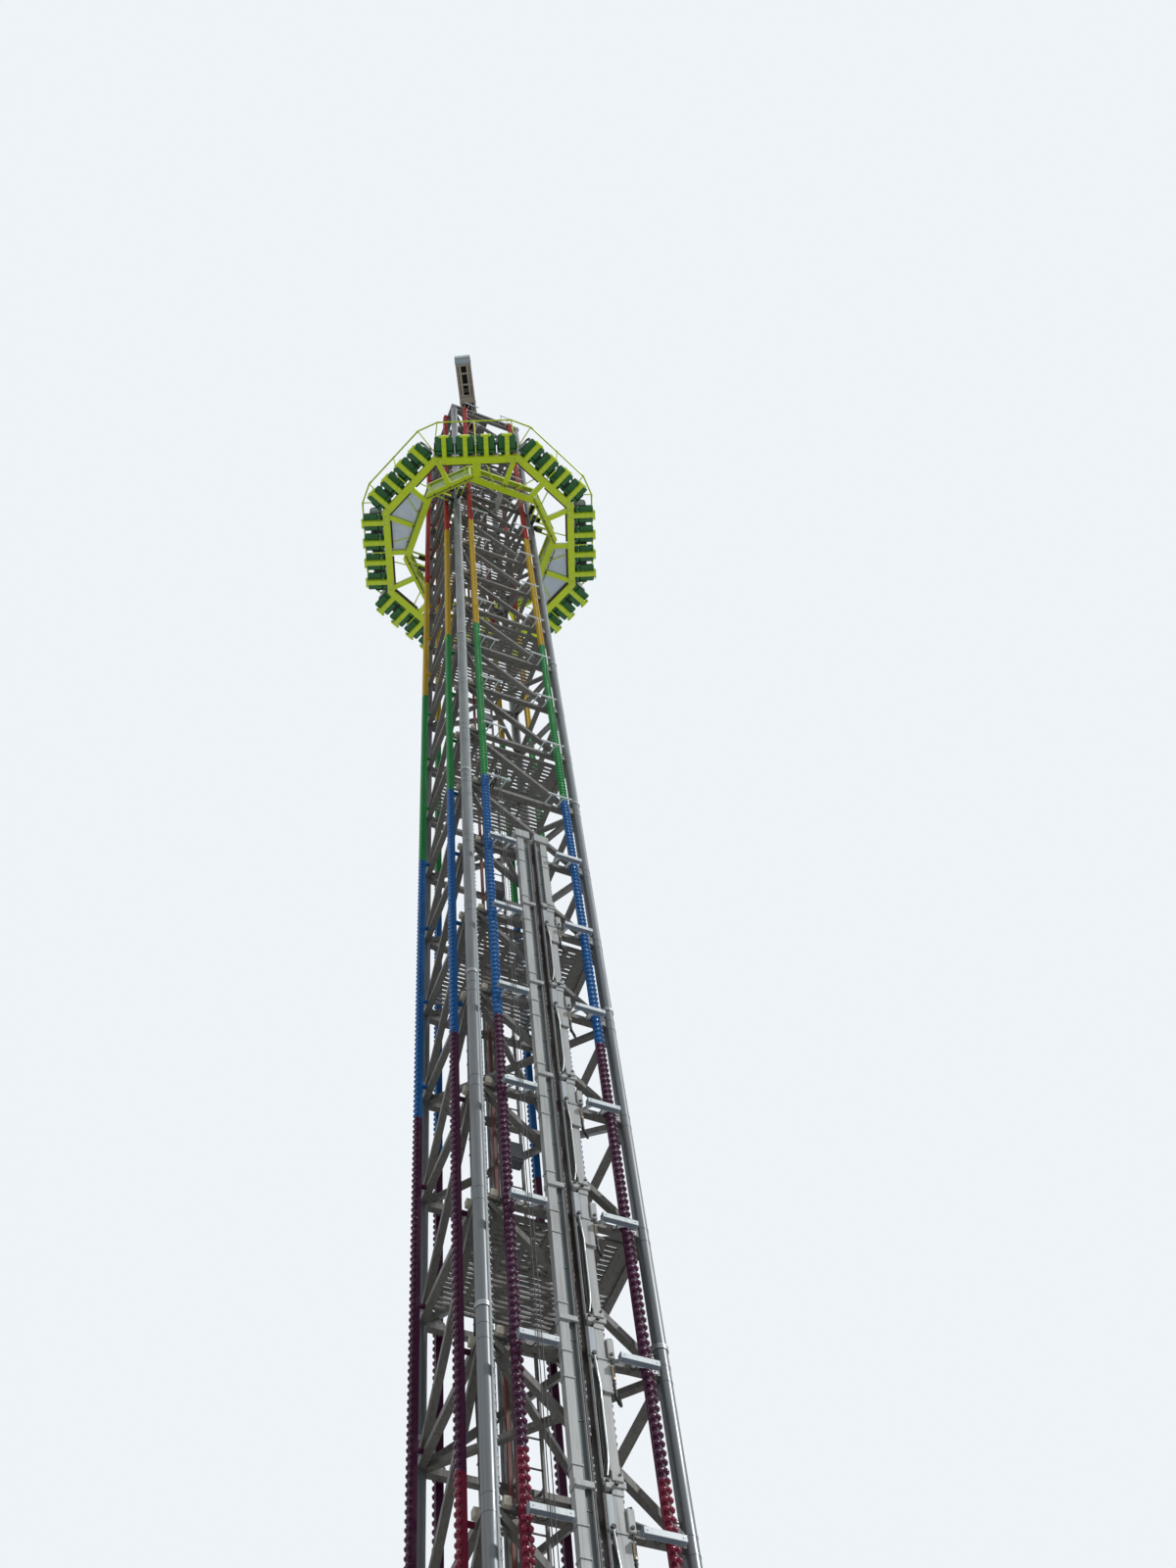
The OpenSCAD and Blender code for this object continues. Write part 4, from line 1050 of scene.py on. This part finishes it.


# Jib: flanges, plates and near-black sheets in its open underside that are painted shade, pins and a tip
# plate
jib = {"turn": -117.0, "pivot": 37.87, "half": 0.165,
       "roller": (1.74, -0.01, 0.021, 0.0755, 24)}      # along, up, half its length, radius, sides
jibBoxes = {        # finish, boxes as size, place from the pivot, rounding and steps
    "jibFlanges": ("jibPaint", (
        ((1.44, 0.028, 0.008), (1.01, 0.136, -0.099), 0.002),
        ((0.66, 0.05, 0.006), (1.35, 0.082, -0.092), 0.001),
        ((0.13, 0.242, 0.006), (0.95, 0, -0.094), 0.001),
        ((0.05, 0.242, 0.006), (1.7, 0, -0.094), 0.001))),
    # near-black sheets inside the open underside: painted shade
    "jibDepth": ("jibDark", (
        ((1.56, 0.298, 0.004), (1.05, 0, 0.087), 0),
        ((1.52, 0.004, 0.16), (1.05, 0.148, 0.008), 0),
        ((0.09, 0.17, 0.03), (1.155, 0, -0.073), 0.004))),
    "jibTip": ("paleBlue", (
        ((0.11, 0.298, 0.005), (1.788, 0, -0.101), 0.001),
        ((0.006, 0.31, 0.19), (1.863, 0, 0), 0.002))),
}
jibPins = (         # along, up, how far it stands out, radius, sides
    (1.74, -0.01, 0.006, 0.032, 8),
    (0, 0, 0.008, 0.05, 12),
    (0.88, -0.02, 0.006, 0.036, 12),
)


def addJibDetail():
    place = spun(jib["turn"]) @ Matrix.Translation(up(jib["pivot"]))
    for name, (finish, rows) in jibBoxes.items():
        boxPiece(name, finish, "jib_paint", rows, body="jib", turn=place)
    pins = bmesh.new()
    x, z, half, radius, sides = jib["roller"]
    addPin(pins, (x, -half, z), 2 * half, radius, sides)
    for x, z, reach, radius, sides in jibPins:
        for hand in (-1, 1):
            addPin(pins, (x, hand * jib["half"], z), hand * reach, radius, sides)
    finishPiece("jibPins", pins, body="jib", turn=place)


addJibDetail()
print("jib detailed")


# Inside the mast: hoses, a cable rail, junction boxes on the front and small boxes at the bars
mastHose = {"x": (-0.27, -0.24), "y": 0.56, "radius": 0.011, "from": 1.0, "step": 0.75, "points": 24,
            "sway": (0.012, 1.3), "swing": (0.01, 0.9)}         # size and pace of the bends
insideBoxes = {     # finish, slot, repeat, boxes as size, place from the mast's foot, rounding
    "cableRail": ("rustPaint", "red_paint", None, (
        ((0.034, 0.03, mastHigh - 0.1), (-0.012, 0.6, mastHigh / 2), 0.003),)),
    "junctionBoxes": ("boxPaint", "brake_steel", everyBay(8, mast["section"]), (
        ((0.16, 0.1, 0.24), (-0.34, -0.58, 2.3), 0.006, 2),
        ((0.13, 0.012, 0.2), (-0.34, -0.636, 2.3), 0.003))),
    "cableBoxes": ("boxBeige", "brake_steel", everyBay(mast["bays"]), (
        ((0.055, 0.045, 0.075), (-0.6, barFace - 0.0235, 0.005), 0.004),
        ((0.045, 0.055, 0.075), (barFace - 0.0235, -0.6, 0.005), 0.004))),
}


def addInside():
    hoses = bmesh.new()
    (sway, pace), (swing, beat) = mastHose["sway"], mastHose["swing"]
    for k, x in enumerate(mastHose["x"]):
        addHose(hoses, [(x + sway * sin(n * pace + k), mastHose["y"] + swing * cos(n * beat + k),
                         mastHose["from"] + n * mastHose["step"]) for n in range(mastHose["points"])],
                mastHose["radius"])
    finishPiece("mastHoses", hoses, "blackRubber", "black_rope", **hoseSkin)
    for name, (finish, slot, repeat, rows) in insideBoxes.items():
        boxPiece(name, finish, slot, rows, up(mast["foot"]), (1,), repeat=repeat)


# Slats across the gratings, with two bearers under those at the back
grating = {"first": -0.57, "pitch": 0.05, "count": 22, "slat": (1.32, 0.025, 0.026),
           "bearer": (0.03, 0.72, 0.036), "bearerX": (-0.45, 0.35), "bearerY": 0.31, "bearerDown": 0.028}


def addSlats():
    low = mast["foot"] + mast["bay"]
    slats = bmesh.new()
    for k in range(grating["count"]):
        addBox(slats, grating["slat"], (0, grating["first"] + k * grating["pitch"], low))
    for x in grating["bearerX"]:
        addBox(slats, grating["bearer"], (x, grating["bearerY"], low - grating["bearerDown"]))
    finishPiece("gratingSlats", slats, "latticePaint", "galvanised",
                repeat=everyBay(mast["bays"] // mast["section"], mast["section"]))


addInside()
addSlats()
print("mast fitted inside")


# Base: studs, nuts and washers on the anchor plates, and stiffeners between the flanges
base = {"pitch": 0.22, "plate": 0.04, "girder": 0.24, "ribX": (-0.35, 0.35, -0.57, 0.57), "ribOut": 0.048,
        "rib": (0.01, 0.074, 0.198), "ribEdge": 0.001,
        "washer": (0, 0.004, 0.034, 16), "nut": (0.004, 0.028, 0.027, 6),      # from, to, radius, sides
        "stud": (-0.03, 0.045, 0.015, 10)}


def addBaseBolts():
    bolts = bmesh.new()
    half, apart = mast["half"], base["pitch"] / 2
    rows = (-half - apart, -half + apart, half - apart, half + apart)
    for x in rows:
        for y in rows:
            at = Vector((x, y, base["plate"]))
            for low, high, radius, sides in (base["washer"], base["nut"], base["stud"]):
                addRod(bolts, at + up(low), at + up(high), radius, sides)
    finishPiece("anchorBolts", bolts)
    ribs = bmesh.new()
    for side in range(4):
        for x in base["ribX"]:
            spot = turned(side) @ Vector((x, -half - base["ribOut"], base["girder"] / 2))
            addBox(ribs, base["rib"], spot, turned(side), base["ribEdge"])
    finishPiece("girderRibs", ribs, "latticePaint", "lattice_steel")


addBaseBolts()
print("base bolted")
